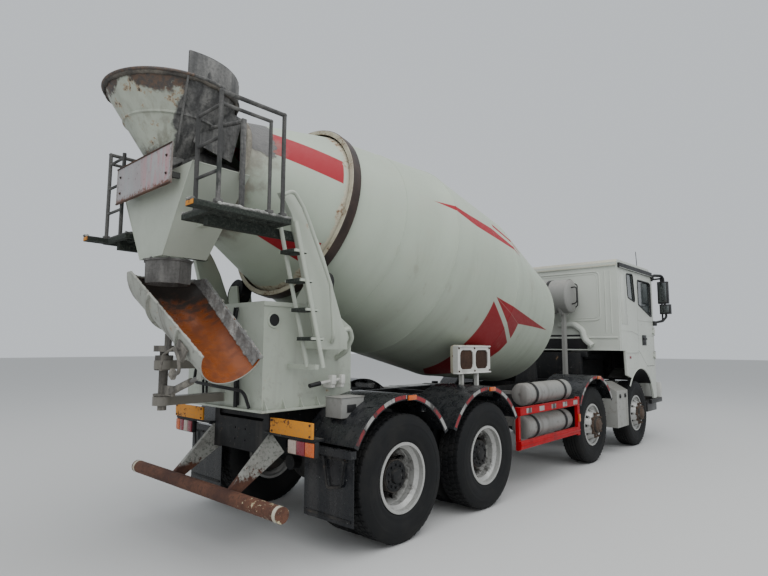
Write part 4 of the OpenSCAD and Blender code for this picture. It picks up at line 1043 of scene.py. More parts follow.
@dataclass(frozen=True)
class Glass:
    """Tinted window glass with a little road film on it."""

    name: str
    tint: Colour = (0.035, 0.045, 0.045)

    def build(self) -> Material:
        """The glass as a material."""
        shade = Shade(self.name)
        film = shade.noise(5.0, 5.0, 0.6)
        shade.colour(shade.mix(shade.ramp(film, 0.45, 0.8, 0.0, 0.35), self.tint, (0.20, 0.20, 0.19)))
        shade.rough(shade.ramp(film, 0.3, 0.8, 0.04, 0.2))
        shade.set(Alpha=0.82, Coat_Weight=1.0, Coat_Roughness=0.03, IOR=1.5)
        return shade.material


@dataclass(frozen=True)
class Cloth:
    """Woven seat cloth with a soft sheen."""

    name: str
    colour: Colour = (0.035, 0.036, 0.04)
    pitch: float = 0.003

    def build(self) -> Material:
        """The cloth as a material."""
        shade = Shade(self.name)
        wave = [shade.math("SINE", shade.all_of(way, 2 * math.pi / self.pitch)) for way in shade.axes()]
        weave = shade.all_of(shade.math("ADD", wave[0], wave[2]), wave[1])
        worn = shade.noise(8.0, 4.0)
        shade.colour(shade.mix(shade.ramp(worn, 0.4, 0.75), self.colour, tuple(c * 1.9 for c in self.colour)))
        shade.rough(0.92)
        shade.set(Sheen_Weight=0.35)
        shade.bump(weave, 0.0005, 0.5)
        return shade.material


class Coat(Enum):
    """The finishes on the truck."""

    PALE = "pale_paint"
    CREAM = "cream_paint"
    WHITE = "white_paint"
    HOPPER = "hopper_paint"
    CAB = "cab_paint"
    ROOF = "roof_paint"
    BUMPER = "bumper_paint"
    CHASSIS = "chassis_black"
    GUARD = "guard_black"
    PLASTIC = "black_plastic"
    RED = "guard_red"
    TANK = "tank_grey"
    ALLOY = "box_alloy"
    HUB = "hub_brown"
    RUST = "rusty_steel"
    WORKS = "crusted_works"
    PEDESTAL = "pedestal_paint"
    CORE = "rusty_core"
    RUSTED_TUBE = "rusted_tube"
    RING = "ring_steel"
    CRUST = "concrete_crust"
    RUST_CRUST = "rusty_crust"
    PALE_CRUST = "pale_crust"
    RIM_CRUST = "rim_crust"
    CAGE = "crusted_cage"
    COLLAR = "crusted_rubber"
    NECK = "crusted_neck"
    CHUTE_IN = "chute_lining"
    CHUTE_OUT = "chute_outside"
    BOARD = "board_paint"
    RUBBER = "tyre_rubber"
    STEEL = "plain_steel"
    BRIGHT = "bright_steel"
    AMBER = "amber_lens"
    AMBER_PLATE = "amber_plate"
    RED_LENS = "red_lens"
    CLEAR = "clear_lens"
    TAPE_RED = "tape_red"
    TAPE_WHITE = "tape_white"
    GLASS = "window_glass"
    MIRROR = "mirror_glass"
    CLOTH = "seat_cloth"
    TRIM = "inner_trim"
    BARREL = "drum_paint"


class Palette:
    """Builds each finish once and hands it out."""

    def __init__(self, own: Sequence[DrumPaint | HopperPaint | LiningPaint | BoardPaint]) -> None:
        """Mixes all the finishes.

        Args:
            own: the finishes that depend on where their piece is.
        """
        recipes = (WornPaint("pale_paint", (0.425, 0.460, 0.39), grime_share=0.45, chips=0.16, splash_z=1.35,
            spatter=0.3), WornPaint("pedestal_paint", (0.425, 0.460, 0.39), grime_share=0.5, chips=0.18,
            splash_z=1.35, zone=((-9.0, -9.0, -1.0), (-3.83, 9.0, 1.62)), zone_colour=(0.15, 0.14, 0.12)),
            WornPaint("cream_paint", (0.52, 0.49, 0.38), grime_share=0.6, chips=0.5, splash_z=1.2),
            WornPaint("white_paint", (0.66, 0.66, 0.62), grime_share=0.4, chips=0.22, splash_z=1.5),
            WornPaint("cab_paint", (0.53, 0.555, 0.50), grime_share=0.30, chips=0.0, dusting=0.25, gloss=0.30,
            splash_z=1.1, zone=((-9.0, -1.165, -1.0), (4.8075, 1.165, 1.602)), zone_colour=(0.012, 0.012, 0.013)),
            WornPaint("bumper_paint", (0.58, 0.59, 0.55), grime_share=0.30, gloss=0.30, splash_z=1.1, zone=((-9.0,
            -9.0, -1.0), (9.0, 9.0, 0.725)), zone_colour=(0.015, 0.015, 0.016)), WornPaint("roof_paint", (0.50, 0.485,
            0.39), grime_share=0.35, dusting=0.45, splash_z=1.1), WornPaint("chassis_black", (0.0085, 0.009, 0.010),
            grime=(0.050, 0.045, 0.040), grime_share=0.6, chips=0.2, dusting=0.40, gloss=0.5, dust=(0.075, 0.072,
            0.066), shine=0.3, spatter=0.55), WornPaint("guard_black", (0.0075, 0.0085, 0.011), grime=(0.045, 0.043,
            0.042), grime_share=0.4, dusting=0.18, gloss=0.24, dust=(0.10, 0.10, 0.10), spatter=0.6),
            WornPaint("black_plastic", (0.010, 0.010, 0.011), grime=(0.05, 0.048, 0.045), grime_share=0.35,
            dusting=0.25, gloss=0.45, dust=(0.12, 0.115, 0.11)), WornPaint("guard_red", (0.40, 0.0025, 0.007),
            grime_share=0.35, dusting=0.08, gloss=0.38, grime=(0.10, 0.006, 0.008), shine=0.15),
            WornPaint("tank_grey", (0.25, 0.25, 0.235), grime_share=0.6, dusting=0.4, gloss=0.45, grime=(0.10, 0.09,
            0.08)), WornPaint("box_alloy", (0.36, 0.36, 0.335), grime_share=0.5, dusting=0.35, gloss=0.4,
            metallic=0.3, zone=((-5.0, -0.975, 1.0), (-0.5, -0.86, 1.70)), zone_colour=(0.60, 0.60, 0.56)),
            Metal("hub_brown", (0.085, 0.055, 0.038), (0.022, 0.016, 0.013), 0.7, 0.3, 0.62), Rust("rusty_steel",
            deep=(0.035, 0.020, 0.015), bright=(0.095, 0.048, 0.027), paint_left=0.30, paint=(0.15, 0.145, 0.13)),
            Rust("rusty_core", deep=(0.045, 0.026, 0.018), bright=(0.10, 0.052, 0.032), paint_left=0.0),
            Rust("rusted_tube", deep=(0.060, 0.024, 0.016), bright=(0.15, 0.062, 0.034), paint_left=0.52, paint=(0.50,
            0.44, 0.27), pits=0.004, grey_above=0.66, flake_size=22.0, flakes_to_y=-0.95), Crust("concrete_crust",
            colour=(0.060, 0.060, 0.060), pale=(0.17, 0.168, 0.16)), Crust("rusty_crust", colour=(0.040, 0.037,
            0.034), pale=(0.13, 0.115, 0.095), under=(0.16, 0.075, 0.035), cover=0.80, grain=0.9), Crust("pale_crust",
            colour=(0.10, 0.105, 0.095), pale=(0.50, 0.50, 0.47)), Crust("rim_crust", colour=(0.14, 0.14, 0.135),
            pale=(0.40, 0.40, 0.38)), Crust("crusted_cage", colour=(0.048, 0.048, 0.047), pale=(0.135, 0.132, 0.125),
            under=(0.026, 0.030, 0.027), cover=0.62, grain=1.4, dark_below=2.650), Crust("crusted_works",
            colour=(0.080, 0.074, 0.066), pale=(0.27, 0.25, 0.215), under=(0.075, 0.04, 0.025), cover=0.72,
            grain=1.2), Crust("crusted_rubber", colour=(0.085, 0.082, 0.078), pale=(0.19, 0.185, 0.175)),
            Crust("crusted_neck", colour=(0.12, 0.10, 0.08), pale=(0.34, 0.33, 0.27), under=(0.42, 0.42, 0.34),
            cover=0.5), WornPaint("chute_outside", (0.34, 0.35, 0.31), grime=(0.14, 0.13, 0.115), grime_share=0.9,
            chips=0.32, gloss=0.6, splash_z=2.6, dusting=0.5), Rubber("tyre_rubber"), Metal("plain_steel", (0.20,
            0.195, 0.185), stain_share=0.7, metallic=0.5), Metal("bright_steel", (0.60, 0.60, 0.60), stain_share=0.25,
            gloss=0.3), Lens("amber_lens", (0.60, 0.11, 0.006)), Rust("amber_plate", deep=(0.14, 0.05, 0.02),
            bright=(0.20, 0.09, 0.03), paint_left=0.97, paint=(0.60, 0.225, 0.004), pits=0.001), Lens("red_lens",
            (0.22, 0.004, 0.020)), Lens("clear_lens", (0.44, 0.36, 0.30)), WornPaint("tape_red", (0.26, 0.022, 0.028),
            grime=(0.030, 0.026, 0.026), grime_share=1.0, dusting=0.0, gloss=0.45, splash_z=2.2, spatter=0.3),
            WornPaint("tape_white", (0.33, 0.325, 0.31), grime=(0.045, 0.042, 0.04), grime_share=1.0, dusting=0.0,
            gloss=0.45, splash_z=2.2), Glass("window_glass"), Metal("mirror_glass", (0.11, 0.12, 0.12),
            stain_share=0.5, metallic=1.0, gloss=0.16), Cloth("seat_cloth"), WornPaint("inner_trim", (0.10, 0.10,
            0.105), grime_share=0.1, dusting=0.2, gloss=0.6), *own,)
        self.finishes: dict[str, Material] = {recipe.name: recipe.build() for recipe in recipes}

    def __getitem__(self, coat: Coat) -> Material:
        """The material of one coat."""
        return self.finishes[coat.value]


@dataclass(frozen=True)
class Layout:
    """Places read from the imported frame, in metres."""

    axles: tuple[float,
        ...] = field(default_factory=lambda: tuple((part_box(f"tyre_{n}r")[0].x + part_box(f"tyre_{n}r")[1].x) / 2 for n
        in (1, 2, 3, 4)))
    tyre_radius: float = field(default_factory=lambda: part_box("tyre_4r")[1].z / 2)
    ring_centre: Vector = field(default_factory=lambda: sum(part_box("drum_ring"), Vector()) / 2)
    slope: float = field(default_factory=lambda: -math.asin(next(joint for joint in frame["joints"] if joint["name"]
        == "drum_spin")["axis"][2]))

    def on_drum(self) -> Matrix:
        """The drum's own frame: X forward along its axis, from the ring's centre."""
        return Matrix.Translation(self.ring_centre) @ Matrix.Rotation(self.slope, 4, "Y")


@dataclass
class Assembly:
    """A group of worked pieces, placed from the fourth axle on the floor."""

    layout: Layout
    palette: Palette

    def at(self, x: float, y: float, z: float) -> Vector:
        """A place by its distance ahead of the fourth axle, to the left and up."""
        return Vector((self.layout.axles[3] + x, y, z))

    def slab(self, name: str, low: Point, high: Point, bevel: float = 0.003) -> Object:
        """A rounded box between two places."""
        return Bench.block(name, self.at(*low), self.at(*high), bevel)

    def plate(self, name: str, points: Sequence[Point], rise: Point, bevel: float = 0.0) -> Object:
        """A flat plate with a drawn outline."""
        return Bench.outline(name, [self.at(*point) for point in points], rise, bevel)

    def pipe(self, name: str, points: Sequence[Point], radius: float, bend: float = 0.0) -> Object:
        """A bent pipe through several places."""
        return Bench.tube(name, [self.at(*point) for point in points], radius, bend)

    @staticmethod
    def other_side(piece: Object) -> Object:
        """The same piece on the truck's other side."""
        return Bench.copy(piece, Matrix.Scale(-1.0, 4, (0, 1, 0)), f"{piece.name}_left")

    def bolts(self, spots: Sequence[Point], way: Point, size: float = 0.011) -> Object:
        """Bolt heads with washers.

        Args:
            spots: where they sit.
            way: which way their heads point.
            size: radius of a head.

        Returns:
            All of them as one piece.
        """
        head = Bench.join("bolt", [Bench.bar("bolt", (0, 0, 0), (0, 0, size * 0.35), size * 1.45, 14),
            Bench.bar("head", (0, 0, size * 0.3), (0, 0, size * 1.25), size, 6, size * 0.93)])
        turn = Vector(way).to_track_quat("Z", "Y").to_matrix().to_4x4()
        copies = [Bench.copy(head, Matrix.Translation(self.at(*spot)) @ turn) for spot in spots]
        Bench.drop(head)
        return Bench.join("bolts", copies)

    def finish(self, name: str, parts: Sequence[Object], coat: Coat, body: str = "root",
            stands_for: Sequence[str] = (), smooth: float = 35.0) -> Object:
        """Joins parts into one piece and dresses it.

        Args:
            name: the piece's name.
            parts: what it is made of.
            coat: its finish.
            body: the body that it rides on.
            stands_for: CAD nodes that it replaces.
            smooth: angle up to which edges look smooth.

        Returns:
            The piece.
        """
        piece = Bench.join(name, parts)
        return Bench.dress(piece, body, self.palette[coat], stands_for, smooth)


@dataclass
class Wheels(Assembly):
    """The eight wheels: treaded tyres, nuts and hubs."""

    bead: float = 0.2862
    lugs: int = 52
    nut_circle: float = 0.1675
    nuts: int = 10
    front_y: float = 1.038
    outer_y: float = 1.095
    inner_y: float = 0.765
    front_disc: float = 0.165
    rear_disc: float = -0.151

    def tyre(self, ribbed: bool) -> Object:
        """One tyre about the X axis.

        Args:
            ribbed: whether it has a steered tyre's ribs in place of a driven tyre's lugs.

        Returns:
            The tyre.
        """
        half = [(0.107, self.bead), (0.1105, 0.300), (0.1215, 0.3115), (0.1275, 0.328), (0.1312, 0.337), (0.1302,
            0.344), (0.1405, 0.372), (0.1460, 0.402), (0.1466, 0.430), (0.1448, 0.450), (0.1464, 0.455), (0.1446,
            0.460), (0.1425, 0.478), (0.1365, 0.500), (0.1270, 0.5165)]
        half += ([(0.118, 0.535), (0.109, 0.5405), (0.066, 0.5420), (0.064, 0.529), (0.056, 0.529), (0.054, 0.5421),
            (0.024, 0.5423), (0.022, 0.529), (0.014, 0.529), (0.012, 0.5423)] if ribbed else [(0.1215, 0.5270),
            (0.116, 0.5330), (0.108, 0.5348), (0.066, 0.5315)])
        body = Bench.turned("tyre", half + [(-x, r) for x, r in reversed(half)], 96, closed=True)
        if ribbed:
            cut = Bench.block("notch", (0.112, -0.010, 0.512), (0.1285, 0.010, 0.532), 0.003, 1)
            rows = [(cut, 0.0, 1.0)]
        else:
            inner = Bench.block("lug", (0.006, -0.0265, 0.520), (0.061, 0.0265, 0.5404), 0.004, 1)
            outer = Bench.block("lug", (0.069, -0.0255, 0.514), (0.1165, 0.0255, 0.5398), 0.005, 1)
            rows = [(inner, 0.0, 0.24), (outer, 0.5, -0.10)]
        copies = [body]
        for pattern, shift, skew in rows:
            for side in (1.0, -1.0):
                slant = Matrix.Rotation(skew * side if not ribbed else 0.0, 4, "Z")
                base = slant @ (Matrix.Identity(4) if side > 0 else Matrix.Scale(-1.0, 4, (1, 0, 0)))
                for step in range(self.lugs):
                    turn = 2 * math.pi * (step + shift + (0.5 if side < 0 else 0.0)) / self.lugs
                    copies.append(Bench.copy(pattern, Matrix.Rotation(turn, 4, "X") @ base))
            Bench.drop(pattern)
        return Bench.join("tyre", copies)

    def nut_ring(self, disc: float) -> list[Object]:
        """A ring of wheel nuts on a disc's face, about the X axis."""
        nut = Bench.join("nut", [Bench.bar("collar", (disc, 0, 0), (disc + 0.007, 0, 0), 0.0225, 16, 0.021),
            Bench.bar("nut", (disc + 0.006, 0, 0), (disc + 0.026, 0, 0), 0.0175, 6, 0.0165), Bench.bar("stud",
            (disc + 0.020, 0, 0), (disc + 0.040, 0, 0), 0.0095, 12, 0.008)])
        ring = [Bench.copy(nut, Matrix.Rotation(2 * math.pi * (n + 0.5) / self.nuts, 4, "X") @ Matrix.Translation((0,
            0, self.nut_circle))) for n in range(self.nuts)]
        Bench.drop(nut)
        return ring

    def front_hub(self) -> Object:
        """A steered wheel's nuts and hub cap about the X axis."""
        top = self.front_disc + 0.045
        cap = Bench.turned("cap", [(top - 0.001, 0.104), (top + 0.008, 0.102), (top + 0.011, 0.094), (top + 0.011,
            0.074), (top + 0.020, 0.070), (top + 0.024, 0.060), (top + 0.024, 0.0)], 40)
        flange = Bench.turned("flange", [(self.front_disc, 0.140), (self.front_disc + 0.010, 0.140),
            (self.front_disc + 0.014, 0.134), (self.front_disc + 0.014, 0.1105)], 40)
        screw = Bench.bar("screw", (top + 0.010, 0, 0.084), (top + 0.017, 0, 0.084), 0.008, 6)
        screws = [Bench.copy(screw, Matrix.Rotation(math.pi * n / 3, 4, "X")) for n in range(6)]
        Bench.drop(screw)
        return Bench.join("hub", [cap, flange, *screws, *self.nut_ring(self.front_disc)])

    def rear_hub(self) -> Object:
        """A driven wheel's nuts and axle flange about the X axis."""
        top = 0.025
        cap = Bench.turned("cap", [(top - 0.001, 0.134), (top + 0.006, 0.132), (top + 0.010, 0.126), (top + 0.010,
            0.066), (top + 0.030, 0.058), (top + 0.034, 0.050), (top + 0.034, 0.0)], 40)
        screw = Bench.bar("screw", (top + 0.009, 0, 0.098), (top + 0.024, 0, 0.098), 0.012, 6)
        screws = [Bench.copy(screw, Matrix.Rotation(math.pi * n / 5, 4, "X")) for n in range(10)]
        Bench.drop(screw)
        return Bench.join("hub", [cap, *screws, *self.nut_ring(self.rear_disc)])

    def build(self) -> None:
        """Fits every wheel."""
        ribbed, lugged = self.tyre(True), self.tyre(False)
        front, rear = self.front_hub(), self.rear_hub()
        for number, along in enumerate(self.layout.axles, 1):
            for letter, side in (("r", -1.0), ("l", 1.0)):
                key = f"{number}{letter}"
                turn = Matrix.Rotation(math.radians(90.0 * side), 4, "Z")

                def place(y: float) -> Matrix:
                    """The wheel's own frame, with X pointing out of the truck."""
                    return Matrix.Translation((along, side * y, self.layout.tyre_radius)) @ turn

                if number < 3:
                    tyres = [Bench.copy(ribbed, place(self.front_y))]
                    hub = Bench.copy(front, place(self.front_y))
                else:
                    tyres = [Bench.copy(lugged, place(y)) for y in (self.outer_y, self.inner_y)]
                    hub = Bench.copy(rear, place(self.outer_y))
                self.finish(f"treaded_tyre_{key}", tyres, Coat.RUBBER, f"wheel_{key}_body", (f"tyre_{key}",), 40)
                self.finish(f"hub_{key}", [hub], Coat.HUB if number < 3 else Coat.CHASSIS, f"wheel_{key}_body")
        for pattern in (ribbed, lugged, front, rear):
            Bench.drop(pattern)


@dataclass
class DrumWork(Assembly):
    """The drum's rolled mouth, its ring and its weld beads."""

    mouth: float = -0.93
    ring_radius: float = 0.905
    seams: tuple[tuple[float, float], ...] = ((0.62, 0.9935), (1.3, 1.150), (2.6, 1.150), (4.08, 0.930))

    def build(self) -> None:
        """Builds the pieces."""
        place = self.layout.on_drum()
        roll = Bench.turned("roll", [(self.mouth + 0.004 - 0.026 * math.sin(a),
            0.506 - 0.024 * math.cos(a)) for a in (2 * math.pi * n / 12 for n in range(12))], 72, closed=True)
        roll.data.transform(place)
        self.finish("drum_mouth_roll", [roll], Coat.NECK, "drum_body")
        beads = []
        for s, r in self.seams:
            bead = Bench.turned("bead", [(s - 0.008, r - 0.004), (s - 0.004, r + 0.003), (s + 0.004, r + 0.003),
                (s + 0.008, r - 0.004)], 120)
            bead.data.transform(place)
            beads.append(bead)
        self.finish("drum_weld_beads", beads, Coat.BARREL, "drum_body", smooth=50)
        half, outer = 0.055, self.ring_radius
        ring = Bench.turned("ring", [(-half, 0.8535), (-half, outer - 0.012), (-half + 0.010, outer - 0.0005),
            (half - 0.010, outer - 0.0005), (half, outer - 0.012), (half, 0.8575), (0.0, 0.8515)], 120, closed=True)
        ring.data.transform(place)
        self.finish("drum_track_ring", [ring], Coat.RING, "drum_body", ("drum_ring",), 30)


@dataclass
class HopperWork(Assembly):
    """The charging hopper's rolled lip, seam flange, bead and crust."""

    centre_x: float = -1.615
    rim_z: float = 3.763
    rim_radius: float = 0.536
    throat_z: float = 3.203
    throat: float = 0.185
    seam_angle: float = 255.0

    def cone(self, z: float) -> float:
        """Outer radius of the cone at a height."""
        return self.throat + (self.rim_radius - self.throat) * (z - self.throat_z) / (self.rim_z - self.throat_z)

    def build(self) -> None:
        """Builds the pieces."""
        stand = Matrix.Translation(self.at(self.centre_x, 0, 0)) @ Matrix.Rotation(math.radians(-90), 4, "Y")
        rim = Bench.turned("rim", [(self.rim_z - 0.014 + 0.031 * math.sin(a),
            self.rim_radius - 0.012 + 0.022 * math.cos(a)) for a in (2 * math.pi * n / 14 for n in range(14))], 128,
            closed=True)
        rim.data.transform(stand)
        rough = bpy.data.textures.new("lumps", "CLOUDS")
        rough.noise_scale = 0.05
        Bench.modify(rim, "DISPLACE", texture=rough, strength=0.020, mid_level=0.85)
        self.finish("hopper_lip", [rim], Coat.RUST_CRUST, smooth=60)
        z = 3.50
        bead = Bench.turned("bead", [(z - 0.014, self.cone(z - 0.014) - 0.002), (z - 0.006, self.cone(z) + 0.010),
            (z + 0.006, self.cone(z) + 0.013), (z + 0.014, self.cone(z + 0.014) - 0.002)], 128)
        bead.data.transform(stand)
        self.finish("hopper_bead", [bead], Coat.HOPPER)
        flanges = []
        for angle in (self.seam_angle, 360.0 - self.seam_angle):
            way = Vector((math.cos(math.radians(angle)), math.sin(math.radians(angle)), 0))
            centre = self.at(self.centre_x, 0, 0)
            spots = [centre + way * (self.cone(zz) - 0.004 + push) + Vector((0, 0, zz)) for zz, push in ((3.24, 0.0),
                (3.75, 0.0), (3.75, 0.022), (3.70, 0.036), (3.30, 0.036), (3.24, 0.022))]
            across = way.cross(Vector((0, 0, 1))) * 0.014
            flanges.append(Bench.outline("flange", [spot - across / 2 for spot in spots], across, 0.002))
        self.finish("hopper_seam_flanges", flanges, Coat.CRUST)
        wall = Bench.turned("wall", [(self.rim_z + 0.005, self.rim_radius - 0.014), (self.rim_z + 0.190,
            self.rim_radius - 0.012), (self.rim_z + 0.194, self.rim_radius - 0.003), (self.rim_z + 0.188,
            self.rim_radius + 0.004), (self.rim_z + 0.005, self.rim_radius + 0.002)], 96, closed=True)
        wall.data.transform(stand)
        with Bench.editing(wall):
            limit = self.at(self.centre_x, 0, 0).x - 0.128
            Bench.select(wall, lambda face: face.calc_center_median().x < limit)
            bpy.ops.mesh.delete(type="FACE")
        Bench.modify(wall, "DISPLACE", texture=rough, strength=0.014, mid_level=0.55)
        self.finish("splash_wall_crust", [wall], Coat.CRUST, smooth=60)
        posts = [self.pipe("brace", [(self.centre_x + 0.50 * math.cos(math.radians(a)),
            0.50 * math.sin(math.radians(a)), 3.775), (self.centre_x + 0.515 * math.cos(math.radians(a)),
            0.515 * math.sin(math.radians(a)), 3.94)], 0.011) for a in (265, 300, 60, 95)]
        self.finish("splash_wall_braces", posts, Coat.CRUST)


@dataclass
class Rear(Assembly):
    """Lamps, reflecting plates, pedestal fittings, pipes and the underrun tube's ends."""

    lamp_x: float = -0.910
    plate_x: float = -0.920
    column: tuple[tuple[float, float], ...] = ((-0.665, 1.640), (-0.345, 1.640), (-0.345, 1.775), (-0.403, 1.863),
        (-0.540, 2.210), (-0.630, 2.430), (-0.706, 2.567), (-0.800, 2.700), (-0.940, 2.900), (-1.100, 2.900), (-0.990,
        2.740), (-0.914, 2.536), (-0.827, 2.229), (-0.760, 2.026))

    def lamps(self) -> None:
        """The rear lamps, their shelf and the amber plates."""
        shelves, housings = [], []
        lenses: dict[Coat, list[Object]] = {Coat.CLEAR: [], Coat.RED_LENS: [], Coat.AMBER: []}
        plates = []
        orders = {-1.0: (Coat.CLEAR, Coat.RED_LENS, Coat.AMBER), 1.0: (Coat.RED_LENS, Coat.CLEAR, Coat.RED_LENS,
            Coat.AMBER)}
        for side in (-1.0, 1.0):
            def pair(near: float, far: float) -> tuple[float, float]:
                """Lower and higher y of a stretch on this side."""
                return (near, far) if side > 0 else (-far, -near)
            y0, y1 = pair(0.4306, 1.084)
            shelves.append(self.slab("shelf", (-0.904, y0, 0.934), (-0.802, y1, 0.9555), 0.002))
            y0, y1 = pair(0.541, 1.079)
            plates.append(self.slab("plate", (self.plate_x, y0, 0.957), (-0.901, y1, 1.079), 0.003))
            y0, y1 = pair(0.761, 1.089)
            housings.append(self.slab("housing", (self.lamp_x + 0.012, y0, 0.811), (-0.851, y1, 0.9335), 0.008))
            order = orders[side]
            step = 0.318 / len(order)
            for n, coat in enumerate(order):
                y0, y1 = pair(0.766 + n * step + 0.003, 0.766 + (n + 1) * step - 0.003)
                lens = self.slab("lens", (self.lamp_x, y0, 0.819), (self.lamp_x + 0.015, y1, 0.926), 0.006)
                lenses[coat].append(lens)
        self.finish("rear_lamp_shelves", shelves, Coat.CHASSIS, stands_for=("rear_lamps",))
        self.finish("rear_lamp_housings", housings, Coat.PLASTIC)
        self.finish("rear_amber_plates", plates, Coat.AMBER_PLATE)
        for coat, parts in lenses.items():
            self.finish(f"rear_{coat.value}", parts, coat)
        self.finish("rear_plate_bolts", [self.bolts([(self.plate_x, s * y, z) for s in (-1, 1) for y in (0.57,
            1.05) for z in (0.975, 1.06)], (-1, 0, 0), 0.007)], Coat.RUST)

    def pedestal(self) -> None:
        """The pedestal with its slanted columns, flange, gussets, a round hole whose dark inside is a painted-shade
        disc, and fittings.
        """
        shell = Bench.from_node("shell", "rear_pedestal")
        for low, high in (((-1.30, 0.7985, 1.60), (0.05, 0.90, 3.00)), ((-0.33, 0.6006, 1.60), (0.0, 0.81, 1.78))):
            for side in (-1.0, 1.0):
                y0, y1 = sorted((side * low[1], side * high[1]))
                cutter = self.slab("cut", (low[0], y0, low[2]), (high[0], y1, high[2]), 0.0)
                Bench.modify(shell, "BOOLEAN", object=cutter, operation="DIFFERENCE", solver="EXACT")
                Bench.drop(cutter)
        column = self.plate("column", [(x, -0.860, z) for x, z in self.column], (0, 0.060, 0), 0.004)
        foot = self.slab("foot", (-0.655, -0.802, 1.645), (-0.350, -0.598, 1.740), 0.004)
        elbow = self.pipe("elbow", [(-0.40, -0.835, 1.80), (-0.30, -0.835, 1.83), (-0.235, -0.80, 1.74), (-0.235,
            -0.72, 1.62), (-0.235, -0.595, 1.56)], 0.024, 0.08)
        self.finish("rear_columns", [shell] + [part for one in (column, foot, elbow) for part in (one,
            self.other_side(one))], Coat.PEDESTAL, stands_for=("rear_pedestal",))
        rim = self.slab("flange", (-1.052, -0.655, 1.131), (-0.048, -0.596, 1.150), 0.003)
        back = self.slab("flange", (-1.085, -0.655, 1.131), (-1.046, 0.655, 1.150), 0.003)
        parts = [rim, back]
        for n in range(6):
            x = -1.03 + n * 0.185
            parts.append(self.plate("gusset", [(x, -0.598, 1.149), (x, -0.652, 1.149), (x, -0.598, 1.24)], (0.010, 0,
                0)))
        parts.append(self.slab("stiffener", (-1.056, -0.600, 2.000), (-0.36, -0.6005 - 0.012, 2.036), 0.003))
        side = parts + [self.other_side(part) for part in parts[:1] + parts[2:]]
        self.finish("pedestal_flange", side, Coat.PALE)
        collar = Bench.turned("collar", [(0.0, 0.052), (0.010, 0.052), (0.010, 0.066), (0.0, 0.070)], 32)
        collar.data.transform(Matrix.Translation(self.at(-0.949, -0.6005, 1.885)) @ Matrix.Rotation(math.radians(-90),
            4, "Z"))
        # painted shade: a black disc just inside the collar stands for the hole's dark inside
        hole_shade = Bench.bar("hole_shade", self.at(-0.949, -0.600, 1.885), self.at(-0.949, -0.603, 1.885), 0.052, 28)
        self.finish("pedestal_hole_collar", [collar], Coat.PALE)
        self.finish("pedestal_hole", [hole_shade], Coat.PLASTIC)
        rods = [self.pipe("pipe", [(-1.075, y, 1.17), (-1.085, y, 1.50), (-1.10, y * 0.8, 1.78), (-1.07, y * 0.8,
            2.0)], 0.011, 0.06) for y in (-0.30, -0.25, 0.21, 0.27)]
        rods.append(self.pipe("pipe", [(-1.075, -0.46, 1.16), (-1.13, -0.46, 1.30), (-1.13, 0.35, 1.34), (-1.07, 0.38,
            1.62)], 0.014, 0.08))
        rods.append(self.pipe("pole", [(-1.10, -0.295, 1.16), (-1.10, -0.295, 1.50)], 0.017))
        self.finish("rear_pipes", rods, Coat.CHASSIS)
        valve = [self.slab("valve", (-1.14, 0.08, 1.42), (-1.056, 0.24, 1.56), 0.008), self.slab("block", (-1.12,
            -0.20, 1.56), (-1.056, -0.06, 1.66), 0.008), self.bolts([(-1.141, y, z) for y in (0.10,
            0.22) for z in (1.44, 1.54)], (-1, 0, 0), 0.008)]
        self.finish("rear_valves", valve, Coat.RUST)
        lever = self.pipe("lever", [(-0.231, -0.70, 1.381), (-0.52, -0.70, 1.347)], 0.014)
        grip = Bench.bar("grip", self.at(-0.52, -0.70, 1.347), self.at(-0.635, -0.70, 1.330), 0.021, 16, 0.019)
        links = [self.slab("foot", (x - 0.02, -0.725, 1.30), (x + 0.02, -0.602, 1.335), 0.006) for x in (-0.27,
            -0.38)]
        links += [self.slab("lug", (x - 0.025, -0.735, 1.33), (x + 0.025, -0.675, 1.415), 0.008) for x in (-0.27,
            -0.38)]
        self.finish("lever_rod", [lever, *links], Coat.WHITE)
        rail = self.pipe("rail", [(-1.126, -0.93, 2.86), (-1.03, -0.93, 2.915), (-0.93, -0.93, 2.80), (-0.861, -0.93,
            2.68), (-0.696, -0.93, 2.35), (-0.614, -0.93, 2.18), (-0.575, -0.93, 1.746), (-0.54, -0.87, 1.70)], 0.016,
            0.07)
        self.finish("column_rail", [rail, self.other_side(rail)], Coat.PALE)
        box = [self.slab("box", (-0.540, -1.00, 1.070), (-0.275, -0.80, 1.236), 0.006), self.slab("lid", (-0.545,
            -1.005, 1.236), (-0.270, -0.795, 1.243), 0.002)]
        self.finish("side_box", box, Coat.TANK)
        self.finish("side_box_notch", [self.slab("notch", (-0.478, -1.0045, 1.115), (-0.372, -0.9990, 1.180), 0.002)],
            Coat.PLASTIC)
        treads = []
        foot, top = Vector((-0.800, -1.060, 1.500)), Vector((-1.076, -1.025, 2.640))
        for n in range(1, 5):
            place = foot.lerp(top, n / 5)
            treads.append(self.slab("tread", (place.x - 0.068, place.y + 0.016, place.z - 0.016), (place.x + 0.068,
                place.y + 0.184, place.z + 0.014), 0.004))
        self.finish("ladder_treads", treads, Coat.CAGE)
        self.finish("lever_grip", [grip], Coat.PLASTIC)

    def underrun(self) -> None:
        """End caps of the underrun tube."""
        caps = []
        for side in (-1.0, 1.0):
            cap = Bench.turned("cap", [(0.0, 0.0), (0.0, 0.050), (-0.004, 0.0565), (-0.05, 0.0585), (-0.052, 0.0565)],
                36)
            cap.data.transform(Matrix.Translation(self.at(-1.247, side * 1.1615,
                0.490)) @ Matrix.Rotation(math.radians(90.0 * side), 4, "Z"))
            caps.append(cap)
        self.finish("underrun_caps", caps, Coat.CREAM)

    def build(self) -> None:
        """Builds the pieces."""
        self.lamps()
        self.pedestal()
        self.underrun()


